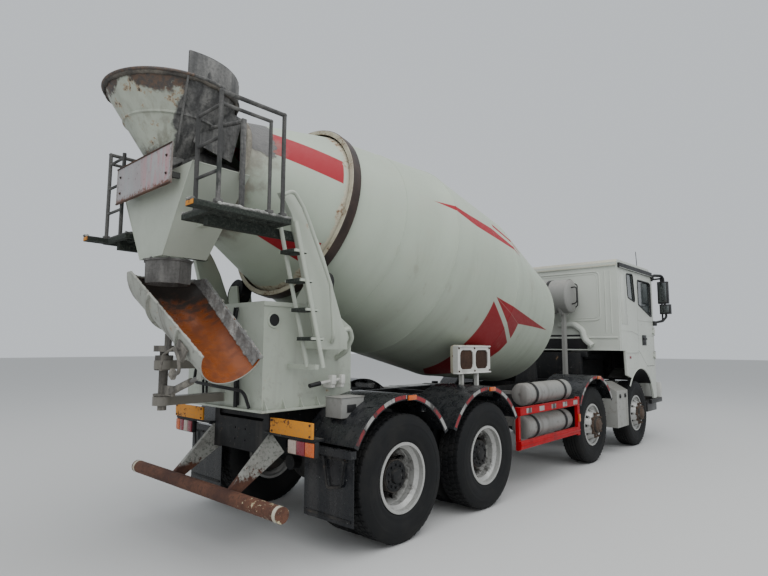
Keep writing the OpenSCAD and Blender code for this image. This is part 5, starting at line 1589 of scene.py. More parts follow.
@dataclass
class Guards(Assembly):
    """Tape, markers and brackets on the mudguards and the side guards."""

    radius: float = 0.705
    lip: float = 0.045
    face_y: float = 1.2402
    sweep: float = 60.0

    def arc(self, along: float, inner: float, outer: float, start: float, end: float) -> Object:
        """A thin ring sector on the lip of the right-hand guard, by its angles from the top."""
        steps = 5
        spots = []
        for radius, order in ((outer, range(steps + 1)), (inner, range(steps, -1, -1))):
            for n in order:
                a = math.radians(start + (end - start) * n / steps)
                spots.append(Vector((along + radius * math.sin(a), -self.face_y,
                    self.layout.tyre_radius + radius * math.cos(a))))
        return Bench.outline("tape", spots, (0, -0.0012, 0))

    def build(self) -> None:
        """Builds the pieces."""
        bands: dict[Coat, list[Object]] = {Coat.TAPE_RED: [], Coat.TAPE_WHITE: []}
        markers, boots = [], []
        inner, outer = self.radius - self.lip + 0.010, self.radius - 0.002
        for along in self.layout.axles[1:]:
            step = 2 * self.sweep / 10
            for n in range(10):
                start = -self.sweep + n * step
                coat = Coat.TAPE_WHITE if n % 2 else Coat.TAPE_RED
                bands[coat].append(self.arc(along, inner, outer, start + 0.3, start + step - 0.3))
            top = self.layout.tyre_radius + self.radius
            base = along - self.layout.axles[3]
            markers.append(self.slab("marker", (base + 0.02, -self.face_y - 0.024, top - 0.048), (base + 0.13,
                -self.face_y - 0.001, top - 0.006), 0.007))
            boots.append(self.slab("boot", (base + 0.014, -self.face_y - 0.006, top - 0.053), (base + 0.136,
                -self.face_y - 0.0003, top - 0.001), 0.003))
        for coat, parts in bands.items():
            self.finish(f"guard_{coat.value}", parts + [self.other_side(part) for part in parts], coat)
        self.finish("guard_markers", markers + [self.other_side(part) for part in markers], Coat.AMBER)
        self.finish("guard_marker_boots", boots + [self.other_side(part) for part in boots], Coat.PLASTIC)
        self.side_bars()
        self.flaps()

    def side_bars(self) -> None:
        """Patches, ridges and marker lamps on the side guards."""
        start, end = 2.052, 3.71
        patches = [self.slab("patch", (start + 0.14 + n * 0.330, -self.face_y - 0.0012, 0.896),
            (start + 0.27 + n * 0.330, -self.face_y + 0.0002, 0.954), 0.0005) for n in range(5)]
        ridge = [self.slab("ridge", (start, -self.face_y - 0.008, 0.536), (end, -self.face_y + 0.001, 0.554), 0.004),
            self.slab("ridge", (start, -self.face_y - 0.005, 0.883), (end, -self.face_y + 0.001, 0.889), 0.002),
            self.slab("ridge", (start, -self.face_y - 0.005, 0.961), (end, -self.face_y + 0.001, 0.967), 0.002)]
        self.finish("side_guard_patches", patches + [self.other_side(p) for p in patches], Coat.TAPE_WHITE)
        self.finish("side_guard_ridges", ridge + [self.other_side(p) for p in ridge], Coat.RED)
        lamp = self.slab("marker", (end - 0.060, -self.face_y - 0.020, 0.66), (end - 0.012, -self.face_y - 0.0006,
            0.76), 0.006)
        self.finish("side_guard_markers", [lamp, self.other_side(lamp)], Coat.AMBER)

    def flaps(self) -> None:
        """Straps, rods and bolts on the mud flaps."""
        strips = []
        for side in (-1.0, 1.0):
            low, high = sorted((side * 0.655, side * 1.235))
            strips.append(self.slab("strap", (-0.643, low, 0.760), (-0.6335, high, 0.790), 0.003))
            strips.append(self.slab("strap", (-0.640, low + 0.02, 0.300), (-0.6335, high - 0.02, 0.322), 0.002))
            strips.append(self.pipe("rod", [(-0.655, side * 0.91, 0.775), (-0.655, side * 0.96, 0.535), (-0.655,
                side * 1.12, 0.565), (-0.655, side * 1.15, 0.775)], 0.010, 0.03))
        strips.append(self.bolts([(-0.643, s * y, 0.775) for s in (-1, 1) for y in (0.70, 0.85, 1.0, 1.18)], (-1, 0,
            0), 0.008))
        self.finish("flap_straps", strips, Coat.CHASSIS)


@dataclass
class ChuteWork(Assembly):
    """The chute's glossy lining, its crusted rims, its latch and its swivel's collars."""

    swivel_x: float = -1.590
    start: float = 0.050
    start_z: float = 2.245
    slope: float = 35.0
    turn: float = -88.0
    length: float = 1.130
    wide: float = 0.330
    lip: float = 0.245
    wall: float = 0.006

    def frame(self) -> Matrix:
        """The chute's own frame: X down its middle line, Z square to it."""
        swivel = Matrix.Translation(self.at(self.swivel_x, 0, 0)) @ Matrix.Rotation(math.radians(self.turn), 4, "Z")
        return swivel @ Matrix.Translation((self.start, 0, self.start_z)) @ Matrix.Rotation(math.radians(self.slope),
            4, "Y")

    def radius(self, along: float) -> float:
        """Half width of the chute at a distance down it."""
        return self.wide + (self.lip - self.wide) * along / self.length

    def shell(self, name: str, off: float, far: float) -> Object:
        """The half pipe with its round back end, at an offset from the outer face."""
        start = self.wide + off
        profile = [(start * math.sin(math.radians(a)), start * math.cos(math.radians(a))) for a in range(-90, 1, 10)]
        profile += [(far * n / 6, self.radius(far * n / 6) + off) for n in range(1, 7)]
        shell = Bench.turned(name, profile, 64)
        down = Vector((math.sin(math.radians(self.slope)), 0, math.cos(math.radians(self.slope))))
        with Bench.editing(shell):
            for way in (Vector((0, 0, 1)), Vector((-down.x, 0, down.z))):
                Bench.whole()
                bpy.ops.mesh.bisect(plane_co=(0, 0, -0.001), plane_no=way, clear_outer=True)
        return shell

    def build(self) -> None:
        """Builds the pieces."""
        place = self.frame()
        trough = Bench.from_node("trough", "chute")
        ends = [(along, self.radius(along) - self.wall - 0.0012) for along in (0.05, 1.10)]
        cutter = Bench.turned("cut", [(ends[0][0], 0.0), *ends, (ends[1][0], 0.0)], 64)
        cutter.data.transform(place)
        Bench.modify(trough, "BOOLEAN", object=cutter, operation="DIFFERENCE", solver="EXACT")
        Bench.drop(cutter)
        self.finish("chute_trough", [trough], Coat.CHUTE_OUT, "chute_body", stands_for=("chute",))
        lining = self.shell("lining", -self.wall - 0.0015, self.length - 0.004)
        with Bench.editing(lining):
            Bench.whole()
            bpy.ops.mesh.flip_normals()
        lining.data.transform(place)
        Bench.modify(lining, "SOLIDIFY", thickness=0.001, offset=0.0)
        self.finish("chute_lining", [lining], Coat.CHUTE_IN, "chute_body", smooth=60)
        rough = bpy.data.textures.new("rim_lumps", "CLOUDS")
        rough.noise_scale = 0.035
        for name, side, thick, coat in (("chute_rim_crusted", 1.0, 0.020, Coat.RIM_CRUST), ("chute_rim_rear", -1.0,
                0.012, Coat.CHUTE_OUT)):
            sink = -thick + 0.004
            spots = [(self.length * n / 40, side * (self.radius(self.length * n / 40) - 0.004),
                sink) for n in range(41)]
            back = [(-(self.wide - 0.01) * math.sin(math.radians(a)) * 0.72,
                side * (self.wide - 0.006) * math.cos(math.radians(a)),
                sink - 0.50 * (self.wide - 0.01) * math.sin(math.radians(a))) for a in range(84, 5, -8)]
            route = [place @ Vector(spot) for spot in back + spots]
            rim = Bench.tube(name, route, thick, sides=4)
            Bench.modify(rim, "REMESH", mode="VOXEL", voxel_size=0.005)
            Bench.modify(rim, "DISPLACE", texture=rough, strength=thick * 1.1, mid_level=0.62)
            self.finish(name, [rim], coat, "chute_body", smooth=70)
        band = self.shell("band", -self.wall - 0.004, self.length - 0.010)
        with Bench.editing(band):
            for spot, way in (((0, 0, -0.105), (0, 0, -1)), ((0, 0.02, 0), (0, -1, 0)), ((-0.10, 0, 0), (-1, 0, 0))):
                Bench.whole()
                bpy.ops.mesh.bisect(plane_co=spot, plane_no=way, clear_outer=True)
        band.data.transform(place)
        Bench.modify(band, "SOLIDIFY", thickness=0.014, offset=-1.0)
        Bench.modify(band, "REMESH", mode="VOXEL", voxel_size=0.006)
        Bench.modify(band, "DISPLACE", texture=rough, strength=0.022, mid_level=0.62)
        self.finish("chute_inner_crust", [band], Coat.RIM_CRUST, "chute_body", smooth=70)
        ribs = []
        for along in (0.34, 0.80):
            radius = self.radius(along) + 0.003
            rib = Bench.turned("rib", [(along - 0.014, radius - 0.004), (along - 0.014, radius + 0.020),
                (along + 0.010, radius + 0.020), (along + 0.010, radius - 0.004)], 64, closed=True)
            with Bench.editing(rib):
                Bench.whole()
                bpy.ops.mesh.bisect(plane_co=(0, 0, -0.002), plane_no=(0, 0, 1), clear_outer=True, use_fill=True)
            rib.data.transform(place)
            ribs.append(rib)
        self.finish("chute_ribs", ribs, Coat.CHUTE_OUT, "chute_body")
        side = -self.radius(0.93) - 0.004
        latch = [Bench.block("plate", (0.84, side - 0.012, -0.16), (0.98, side + 0.006, -0.06), 0.004),
            Bench.bar("pin", (0.90, side - 0.055, -0.10), (0.90, side, -0.10), 0.014), Bench.tube("hook", [(0.90,
            side - 0.045, -0.10), (0.99, side - 0.05, -0.12), (1.04, side - 0.04, -0.20), (0.97, side - 0.03, -0.27)],
            0.012, 0.04), Bench.block("lug", (0.93, side - 0.045, -0.30), (0.99, side - 0.010, -0.24), 0.006),
            Bench.tube("link", [(0.86, side - 0.03, -0.12), (0.80, side - 0.05, -0.22), (0.84, side - 0.05, -0.33)],
            0.009, 0.03)]
        for part in latch:
            part.data.transform(place)
        self.finish("chute_latch", latch, Coat.WORKS, "chute_body")
        collars = []
        for z in (1.18, 1.262, 1.47, 1.552):
            collar = Bench.turned("collar", [(z, 0.036), (z, 0.068), (z + 0.008, 0.074), (z + 0.02, 0.074), (z + 0.02,
                0.036)], 32)
            collar.data.transform(Matrix.Translation(self.at(self.swivel_x, 0,
                0)) @ Matrix.Rotation(math.radians(-90), 4, "Y"))
            collars.append(collar)
        self.finish("swivel_collars", collars[1:3], Coat.WORKS)
        for part in (collars[0], collars[3]):
            Bench.drop(part)


@dataclass
class FunnelWork(Assembly):
    """The funnel's crusted collar and flange, its folded edges, and the board's back ribs."""

    swivel_x: float = -1.590
    collar: float = 0.180
    low_z: float = 2.175
    high_z: float = 2.380

    def build(self) -> None:
        """Builds the pieces."""
        stand = Matrix.Translation(self.at(self.swivel_x, 0, 0)) @ Matrix.Rotation(math.radians(-90), 4, "Y")
        sleeve = Bench.turned("sleeve", [(self.low_z - 0.004, self.collar - 0.008), (self.low_z - 0.004,
            self.collar + 0.006), (self.low_z + 0.05, self.collar + 0.010), (self.high_z - 0.03, self.collar + 0.012),
            (self.high_z - 0.026, self.collar + 0.022), (self.high_z - 0.010, self.collar + 0.022),
            (self.high_z - 0.006, self.collar - 0.008)], 8, closed=True)
        sleeve.data.transform(stand)
        self.finish("funnel_collar", [sleeve], Coat.COLLAR)
        spots = [(self.swivel_x + 0.19 * math.cos(math.radians(a)), 0.19 * math.sin(math.radians(a)),
            self.high_z - 0.010) for a in range(20, 380, 45)]
        self.finish("funnel_collar_bolts", [self.bolts(spots, (0, 0, 1), 0.008)], Coat.RIM_CRUST)
        hems = []
        for side in (-1.0, 1.0):
            hems.append(self.pipe("hem", [(-1.741, side * 0.2, 2.382), (-1.741, side * 0.618, 3.05)], 0.0045))
            hems.append(self.pipe("hem", [(-1.741, side * 0.618, 3.05), (-1.245, side * 0.618, 3.05)], 0.005))
        hems.append(self.pipe("hem", [(-1.741, 0.2, 2.382), (-1.741, -0.2, 2.382)], 0.005))
        self.finish("funnel_hems", hems, Coat.PALE)
        frame = [self.slab("strip", (-1.851, -0.5, 2.880), (-1.8455, 0.5, 2.893), 0.002), self.slab("strip", (-1.851,
            -0.5, 3.187), (-1.8455, 0.5, 3.200), 0.002)]
        self.finish("board_edges", frame, Coat.RUST)
        self.finish("board_bolts", [self.bolts([(-1.846, y, z) for y in (-0.42, 0.42) for z in (2.97, 3.11)], (-1, 0,
            0), 0.008)], Coat.RUST)


@dataclass
class CageWork(Assembly):
    """Crusted edges, beam caps and post clamps on the two work platforms."""

    rear_x: float = -1.750
    front_x: float = -1.100
    top: float = 2.660

    def build(self) -> None:
        """Builds the pieces."""
        parts = []
        for side in (-1.0, 1.0):
            for x0, y0, x1, y1 in ((self.rear_x, 0.995, self.front_x, 0.995), (self.rear_x, 0.505, self.front_x,
                    0.505), (self.front_x - 0.006, 0.505, self.front_x - 0.006, 0.995), (self.rear_x - 0.168, 0.9,
                    self.rear_x - 0.168, 0.99)):
                parts.append(self.pipe("crust", [(x0, side * y0, self.top + 0.002), (x1, side * y1,
                    self.top + 0.002)], 0.013))
        crust = Bench.join("crust", parts)
        Bench.modify(crust, "REMESH", mode="VOXEL", voxel_size=0.006)
        rough = bpy.data.textures.new("edge_lumps", "CLOUDS")
        rough.noise_scale = 0.03
        Bench.modify(crust, "DISPLACE", texture=rough, strength=0.022, mid_level=0.6)
        self.finish("platform_edge_crust", [crust], Coat.PALE_CRUST, smooth=70)
        caps = [self.slab("cap", (self.rear_x - 0.174, side * 0.945 - 0.052, 2.618), (self.rear_x - 0.1695,
            side * 0.945 + 0.052, 2.652), 0.003) for side in (-1.0, 1.0)]
        self.finish("platform_beam_caps", caps, Coat.AMBER_PLATE)
        clamps = [self.slab("clamp", (x - 0.026, side * 0.98 - 0.026, z), (x + 0.026, side * 0.98 + 0.026, z + 0.03),
            0.005) for side in (-1.0, 1.0) for x, z in ((-1.73, 2.662), (-1.175, 2.662), (-1.30, 2.662))]
        self.finish("platform_post_feet", clamps, Coat.CAGE)


@dataclass
class Tanks(Assembly):
    """Straps, seams and fittings of the water, air and fuel tanks."""

    water_x: float = 5.195
    water_z: float = 2.524
    water_radius: float = 0.285
    air_radius: float = 0.135

    def hoop(self, radius: float, half: float, thick: float, place: Matrix) -> Object:
        """A flat strap round a tank."""
        hoop = Bench.turned("strap", [(-half, radius + 0.0006), (-half, radius + thick), (half, radius + thick),
            (half, radius + 0.0006)], 56, closed=True)
        hoop.data.transform(place)
        return hoop

    def build(self) -> None:
        """Builds the pieces."""
        across = Matrix.Rotation(math.radians(90), 4, "Z")
        straps = [self.hoop(self.water_radius, 0.028, 0.005, Matrix.Translation(self.at(self.water_x, y,
            self.water_z)) @ across) for y in (-0.22, 0.30)]
        self.finish("water_tank_straps", straps, Coat.CHASSIS)
        seams = [self.hoop(self.water_radius - 0.001, 0.006, 0.003, Matrix.Translation(self.at(self.water_x, y,
            self.water_z)) @ across) for y in (-0.53, 0.53)]
        self.finish("water_tank_seams", seams, Coat.TANK)
        handle = [self.pipe("handle", [(self.water_x - 0.10, -0.585, 2.66), (self.water_x - 0.14, -0.70, 2.66),
            (self.water_x - 0.14, -0.70, 2.40), (self.water_x - 0.10, -0.60, 2.38)], 0.011, 0.06), self.pipe("gauge",
            [(self.water_x - 0.02, -0.62, 2.33), (self.water_x - 0.02, -0.66, 2.36), (self.water_x - 0.02, -0.66,
            2.70), (self.water_x - 0.02, -0.62, 2.73)], 0.009, 0.03)]
        self.finish("water_tank_handle", handle, Coat.PLASTIC)
        bands, welds, plugs = [], [], []
        for z in (0.690, 1.088):
            centre = self.at(0, -1.05, z)
            for x in (2.590, 3.400):
                bands.append(self.hoop(self.air_radius + 0.0075, 0.024, 0.004, Matrix.Translation((self.at(x, 0, 0).x,
                    centre.y, z))))
            for x in (2.452, 3.578):
                welds.append(self.hoop(self.air_radius - 0.001, 0.006, 0.0035, Matrix.Translation((self.at(x, 0, 0).x,
                    centre.y, z))))
            plugs.append(Bench.bar("plug", self.at(2.386, -1.05, z), self.at(2.400, -1.05, z), 0.020, 6))
            plugs.append(Bench.bar("drain", self.at(3.0, -1.05, z - 0.150), self.at(3.0, -1.05, z - 0.132), 0.014, 6))
        self.finish("air_tank_straps", bands, Coat.CHASSIS)
        self.finish("air_tank_seams", welds, Coat.TANK)
        self.finish("air_tank_plugs", plugs, Coat.STEEL)
        fuel = []
        for x in (2.55, 3.20):
            spots = [(x, 0.5985, 0.62), (x, 0.5985, 1.02), (x, 0.66, 1.0815), (x, 1.07, 1.0815), (x, 1.1315, 1.02),
                (x, 1.1315, 0.62)]
            for spot, onward in zip(spots, spots[1:]):
                way = Vector(onward) - Vector(spot)
                lift = Vector((0, -way.z, way.y)).normalized() * -0.004
                fuel.append(self.plate("band", [Vector(spot) + Vector((dx, 0, 0)) + extra for dx, extra in ((-0.03,
                    Vector()), (0.03, Vector()))] + [Vector(onward) + Vector((dx, 0, 0)) for dx in (0.03, -0.03)],
                    -lift))
        fuel.append(Bench.bar("cap", self.at(3.38, 0.98, 1.078), self.at(3.38, 0.98, 1.118), 0.055, 24, 0.050))
        self.finish("fuel_tank_bands", fuel, Coat.CHASSIS)
        back = [self.slab("beam", (5.365, -0.60, 1.085), (5.465, 0.60, 1.575), 0.02), self.slab("mount", (5.375,
            -0.70, 1.500), (5.455, -0.50, 1.596), 0.012), self.slab("mount", (5.375, 0.50, 1.500), (5.455, 0.70,
            1.596), 0.012)]
        self.finish("cab_rear_support", back, Coat.CHASSIS)


@dataclass
class SideGear(Assembly):
    """The oil cooler's face, the step box's latches and treads."""

    low: Point = (1.225, -0.950, 1.375)
    size: Point = (0.660, 0.065, 0.300)
    bar: float = 0.045
    corner: float = 0.055

    def fillet(self, x: float, z: float, to_x: float, to_z: float) -> Object:
        """A rounded inner corner of a window."""
        r = self.corner
        arc = [(x + to_x * r * (1 - math.cos(math.radians(a))),
            z + to_z * r * (1 - math.sin(math.radians(a)))) for a in range(0, 91, 15)]
        points = [(x, self.low[1] - 0.001, z)] + [(ax, self.low[1] - 0.001, az) for ax, az in arc]
        return self.plate("fillet", points, (0, 0.021, 0))

    def cooler(self) -> None:
        """The oil cooler's rounded windows, rusted cores and rim."""
        x0, y, z0 = self.low
        long, _, high = self.size
        window = (long - 3 * self.bar) / 2
        parts, cores, fins = [], [], []
        for n in range(2):
            left = x0 + self.bar + n * (window + self.bar)
            right, low, top = left + window, z0 + self.bar, z0 + high - self.bar
            for x, to_x in ((left, 1.0), (right, -1.0)):
                for z, to_z in ((low, 1.0), (top, -1.0)):
                    parts.append(self.fillet(x, z, to_x, to_z))
            cores.append(self.slab("core", (left, y + 0.0155, low), (right, y + 0.0205, top), 0.001))
            for m in range(17):
                fx = left + window * (m + 0.5) / 17
                fins.append(self.slab("fin", (fx - 0.0022, y + 0.011, low + 0.002), (fx + 0.0022, y + 0.016,
                    top - 0.002), 0.0008))
        for lo, hi in (((x0 - 0.004, z0 - 0.004), (x0 + long + 0.004, z0 + 0.010)), ((x0 - 0.004, z0 + high - 0.010),
                (x0 + long + 0.004, z0 + high + 0.004))):
            parts.append(self.slab("rim", (lo[0], y - 0.012, lo[1]), (hi[0], y + 0.06, hi[1]), 0.004))
        self.finish("cooler_face", parts, Coat.WHITE)
        self.finish("cooler_cores", cores + fins, Coat.CORE)
        spots = [(x0 + dx, y - 0.001, z0 + dz) for dx in (0.022, long / 2, long - 0.022) for dz in (0.025,
            high - 0.025)]
        self.finish("cooler_bolts", [self.bolts(spots, (0, -1, 0), 0.008)], Coat.RUST)
        shroud = [self.slab("shroud", (x0 + 0.05, y + 0.066, z0 - 0.012), (x0 + long + 0.085, y + 0.150,
            z0 + high + 0.012), 0.035)]
        self.finish("cooler_shroud", shroud, Coat.CREAM)
        hose = [self.pipe("hose", [(x0 + dx, -0.9, z0 + 0.02), (x0 + dx, -0.86, z0 - 0.10), (x0 + dx + 0.1, -0.7,
            z0 - 0.16), (x0 + dx + 0.3, -0.50, z0 - 0.20)], 0.016, 0.06) for dx in (0.12, 0.50)]
        self.finish("cooler_hoses", hose, Coat.PLASTIC)

    def boxes(self) -> None:
        """Latches, lid lines and treads of the step boxes."""
        lids, latches = [], []
        for z in (0.690, 0.955):
            lids.append(self.slab("rib", (5.165, -1.2435, z - 0.006), (5.647, -1.2395, z + 0.006), 0.002))
        for x in (5.30, 5.53):
            latches.append(self.slab("latch", (x - 0.03, -1.250, 0.860), (x + 0.03, -1.2402, 0.925), 0.004))
            latches.append(self.slab("paddle", (x - 0.014, -1.258, 0.868), (x + 0.014, -1.249, 0.905), 0.003))
        treads = [self.slab("tread", (5.20, -1.236, z), (5.62, -1.226, z + 0.012), 0.002) for z in (0.44,)]
        for n in range(9):
            x = 5.19 + n * 0.052
            treads.append(self.plate("grip", [(x, -1.235, 0.9805), (x + 0.02, -1.235, 0.9805), (x + 0.02, -1.01,
                1.1033), (x, -1.01, 1.1033)], (0, 0, 0.004)))
        for name, parts, coat in (("box_lids", lids, Coat.ALLOY), ("box_latches", latches, Coat.PLASTIC),
                ("box_treads", treads, Coat.ALLOY)):
            self.finish(name, parts + [self.other_side(part) for part in parts], coat)

    def build(self) -> None:
        """Builds the pieces."""
        self.cooler()
        self.boxes()


@dataclass
class CabWork(Assembly):
    """The cab's roof cap, pressings, rubbers, handles, lamps, wipers and mirrors."""

    rear_x: float = 5.525
    front_x: float = 7.600
    half_width: float = 1.200
    top: float = 3.130
    quarter: tuple[tuple[float, float], ...] = ((5.990, 2.520), (5.950, 2.925), (6.280, 2.945), (6.360, 2.455))
    window: tuple[tuple[float, float], ...] = ((6.530, 2.430), (6.530, 2.870), (7.200, 2.870), (7.240, 2.830), (7.240,
        2.230))

    def loop(self, points: Sequence[tuple[float, float]], y: float, radius: float, bend: float) -> Object:
        """A rubber round a side window, by its corners in side view."""
        spots = [Vector((x, y, z)) for x, z in points]
        start = spots[0].lerp(spots[1], 0.5)
        return self.pipe("rubber", [start, *spots[1:], spots[0], start], radius, bend)

    def both(self, name: str, parts: Sequence[Object], coat: Coat, body: str = "cab_body") -> None:
        """Finishes right-hand parts together with their left-hand copies."""
        self.finish(name, [*parts, *[self.other_side(part) for part in parts]], coat, body)

    def roof(self) -> None:
        """The cream roof cap with its folded edge, and the side trims."""
        outer = [(5.498, 3.028), (5.505, 3.090), (5.560, 3.1375), (7.205, 3.1375), (7.352, 3.055)]
        inner = [(7.345, 3.046), (7.200, 3.1305), (5.564, 3.1305), (5.5242, 3.088), (5.5242, 3.028)]
        wide = self.half_width - 0.012
        cap = self.plate("cap", [(x, -wide, z) for x, z in outer + inner], (0, 2 * wide, 0), 0.002)
        ribs = [self.slab("rib", (5.75, y - 0.035, 3.136), (7.10, y + 0.035, 3.1425), 0.003) for y in (-0.8, -0.4,
            0.0, 0.4, 0.8)]
        hatch = self.slab("hatch", (6.25, -0.33, 3.136), (6.85, 0.33, 3.158), 0.012)
        self.finish("cab_roof_cap", [cap, *ribs, hatch], Coat.ROOF, "cab_body")
        gutter = self.slab("gutter", (5.546, -1.2360, 2.994), (7.309, -1.2345, 3.001), 0.0006)
        edge = self.slab("edge", (5.50, -self.half_width - 0.004, 2.985), (7.31, -self.half_width - 0.0002, 2.996),
            0.001)
        self.both("roof_gutters", [gutter, edge], Coat.CAB)

    def rear(self) -> None:
        """The rear wall's pressed panels, beads, seam and lower hem."""
        x = self.rear_x
        parts = []
        for y, low, high in ((-0.90, 2.12, 2.95), (0.90, 2.12, 2.95)):
            inner = math.copysign(0.86, y)
            parts.append(self.pipe("press", [(x, 0.0, low), (x, y, low), (x, y, high), (x, 0.0, high)], 0.012, 0.10))
            parts.append(self.pipe("press", [(x, 0.0, low + 0.04), (x, inner, low + 0.04), (x, inner, high - 0.04),
                (x, 0.0, high - 0.04)], 0.006, 0.09))
        for y in (-1.08, -0.99, 0.99, 1.08):
            parts.append(self.pipe("press", [(x, y, 1.90), (x, y, 2.95)], 0.010))
        parts.append(self.slab("bead", (x - 0.014, -1.17, 1.812), (x + 0.001, 1.17, 1.846), 0.006))
        parts.append(self.slab("hem", (x - 0.010, -1.17, 1.612), (x + 0.001, 1.17, 1.632), 0.004))
        parts.append(self.pipe("duct", [(x - 0.055, -0.18, 2.06), (x - 0.055, -0.46, 2.06), (x - 0.055, -0.60, 1.95),
            (x - 0.055, -0.64, 1.80), (x - 0.055, -0.76, 1.69)], 0.052, 0.10))
        self.finish("cab_rear_pressings", parts, Coat.CAB, "cab_body")
        cover = [self.slab("cover", (x - 0.006, -0.66, 1.614), (x - 0.0003, 0.62, 1.880), 0.002)]
        self.finish("cab_tunnel_cover", cover, Coat.PLASTIC, "cab_body")
        seam = self.slab("seam", (x + 0.05, -self.half_width - 0.0045, 1.62), (x + 0.062, -self.half_width - 0.0002,
            2.985), 0.001)
        belt = self.plate("belt", [(5.60, -self.half_width - 0.0002, 1.955), (6.11, -self.half_width - 0.0002, 1.947),
            (6.455, -self.half_width - 0.0002, 1.893), (6.455, -self.half_width - 0.0002, 1.885), (6.11,
            -self.half_width - 0.0002, 1.936), (5.60, -self.half_width - 0.0002, 1.944)], (0, -0.004, 0))
        panel = [self.plate("pressing", [(5.66, -self.half_width - 0.0002, 2.05), (5.66, -self.half_width - 0.0002,
            2.90), (5.88, -self.half_width - 0.0002, 2.90), (5.90, -self.half_width - 0.0002, 2.50), (5.95,
            -self.half_width - 0.0002, 2.05)], (0, -0.004, 0), 0.0015)]
        self.both("cab_side_pressings", [seam, belt, *panel], Coat.CAB)

    def glazing(self) -> None:
        """Rubbers round the windows, wipers and the black pillar by the windscreen."""
        y = -self.half_width
        self.both("quarter_window_rubbers", [self.loop(self.quarter, y + 0.002, 0.0125, 0.05)], Coat.PLASTIC)
        for side, body in ((-1.0, "door_right_body"), (1.0, "door_left_body")):
            rubber = self.loop(self.window, side * self.half_width * 1.0 - side * 0.002, 0.0135, 0.05)
            y0, y1 = sorted((side * 1.1995, side * 1.2015))
            pillar = self.slab("pillar", (7.246, y0, 2.23), (7.300, y1, 2.86), 0.0006)
            self.finish(f"door_rubber_{'right' if side < 0 else 'left'}", [rubber, pillar], Coat.PLASTIC, body)
        frame = self.pipe("screen", [(7.545, 0.0, 2.055), (7.545, -0.985, 2.055), (7.362, -0.935, 2.965), (7.362,
            0.935, 2.965), (7.545, 0.985, 2.055), (7.545, 0.0, 2.055)], 0.016, 0.07)
        wipers = []
        for y0 in (-0.80, -0.12, 0.56):
            wipers.append(self.pipe("arm", [(7.580, y0, 2.02), (7.572, y0 + 0.10, 2.12), (7.545, y0 + 0.34, 2.30)],
                0.008))
            wipers.append(self.pipe("blade", [(7.560, y0 + 0.06, 2.22), (7.534, y0 + 0.60, 2.36)], 0.009))
            wipers.append(Bench.bar("pivot", self.at(7.560, y0, 2.02), self.at(7.596, y0, 2.02), 0.017, 14))
        self.finish("windscreen_rubber", [frame, *wipers], Coat.PLASTIC, "cab_body")

    def doors(self) -> None:
        """Door handles and lower pressings."""
        for side, body in ((-1.0, "door_right_body"), (1.0, "door_left_body")):
            label = "right" if side < 0 else "left"
            out = side * self.half_width

            def slab(name: str, low: Point, high: Point, bevel: float) -> Object:
                """A slab whose y counts outwards from the door's face."""
                y0, y1 = sorted((out + side * low[1], out + side * high[1]))
                return self.slab(name, (low[0], y0, low[2]), (high[0], y1, high[2]), bevel)

            handle = [slab("pocket", (6.665, 0.0002, 1.70), (6.895, 0.006, 1.885), 0.002), slab("grip", (6.69, 0.014,
                1.80), (6.87, 0.030, 1.835), 0.006), slab("post", (6.70, 0.002, 1.803), (6.725, 0.020, 1.832), 0.003),
                slab("post", (6.835, 0.002, 1.803), (6.860, 0.020, 1.832), 0.003), Bench.bar("lock", self.at(6.80,
                out, 1.745), self.at(6.80, out + side * 0.010, 1.745), 0.014, 16)]
            self.finish(f"door_handle_{label}", handle, Coat.PLASTIC, body)
            pressings = [slab("belt", (6.478, 0.0002, 2.135), (7.300, 0.005, 2.160), 0.002), slab("belt", (6.478,
                0.0002, 1.872), (7.300, 0.004, 1.884), 0.0015)]
            self.finish(f"door_pressings_{label}", pressings, Coat.CAB, body)

    def fender(self) -> None:
        """The wheel arch's ledge, its reflector and the small side markers."""
        y = -self.half_width
        rim = []
        arc = [(6.500 + 0.742 * math.sin(math.radians(a)), y - 0.001,
            0.560 + 0.742 * math.cos(math.radians(a))) for a in range(-52, 55, 6)]
        rim.append(self.pipe("arch", arc, 0.011))
        rim.append(self.slab("ledge", (5.80, y - 0.012, 1.570), (6.462, y + 0.001, 1.590), 0.004))
        self.both("arch_ledges", rim, Coat.CAB)
        arcs = [[(6.500 + r * math.sin(math.radians(a)), -1.192,
            0.560 + r * math.cos(math.radians(a))) for a in range(-38, 53, 6)] for r in (0.733, 0.725)]
        self.both("arch_liners", [self.plate("liner", arcs[0] + arcs[1][::-1], (0, 0.40, 0))], Coat.PLASTIC)
        marker = self.slab("marker", (5.96, y - 0.011, 1.475), (6.03, y - 0.0005, 1.515), 0.004)
        self.both("cab_side_reflectors", [marker], Coat.RED_LENS)
        lamp = self.slab("lamp", (7.335, y - 0.012, 1.945), (7.42, y + 0.03, 1.995), 0.006)
        self.both("cab_side_lamps", [lamp], Coat.AMBER)
        hinge = [Bench.bar("pin", self.at(7.336, -1.219, z - 0.075), self.at(7.336, -1.219, z + 0.075), 0.008,
            12) for z in (1.52, 1.96)]
        self.both("hinge_pins", hinge, Coat.STEEL)

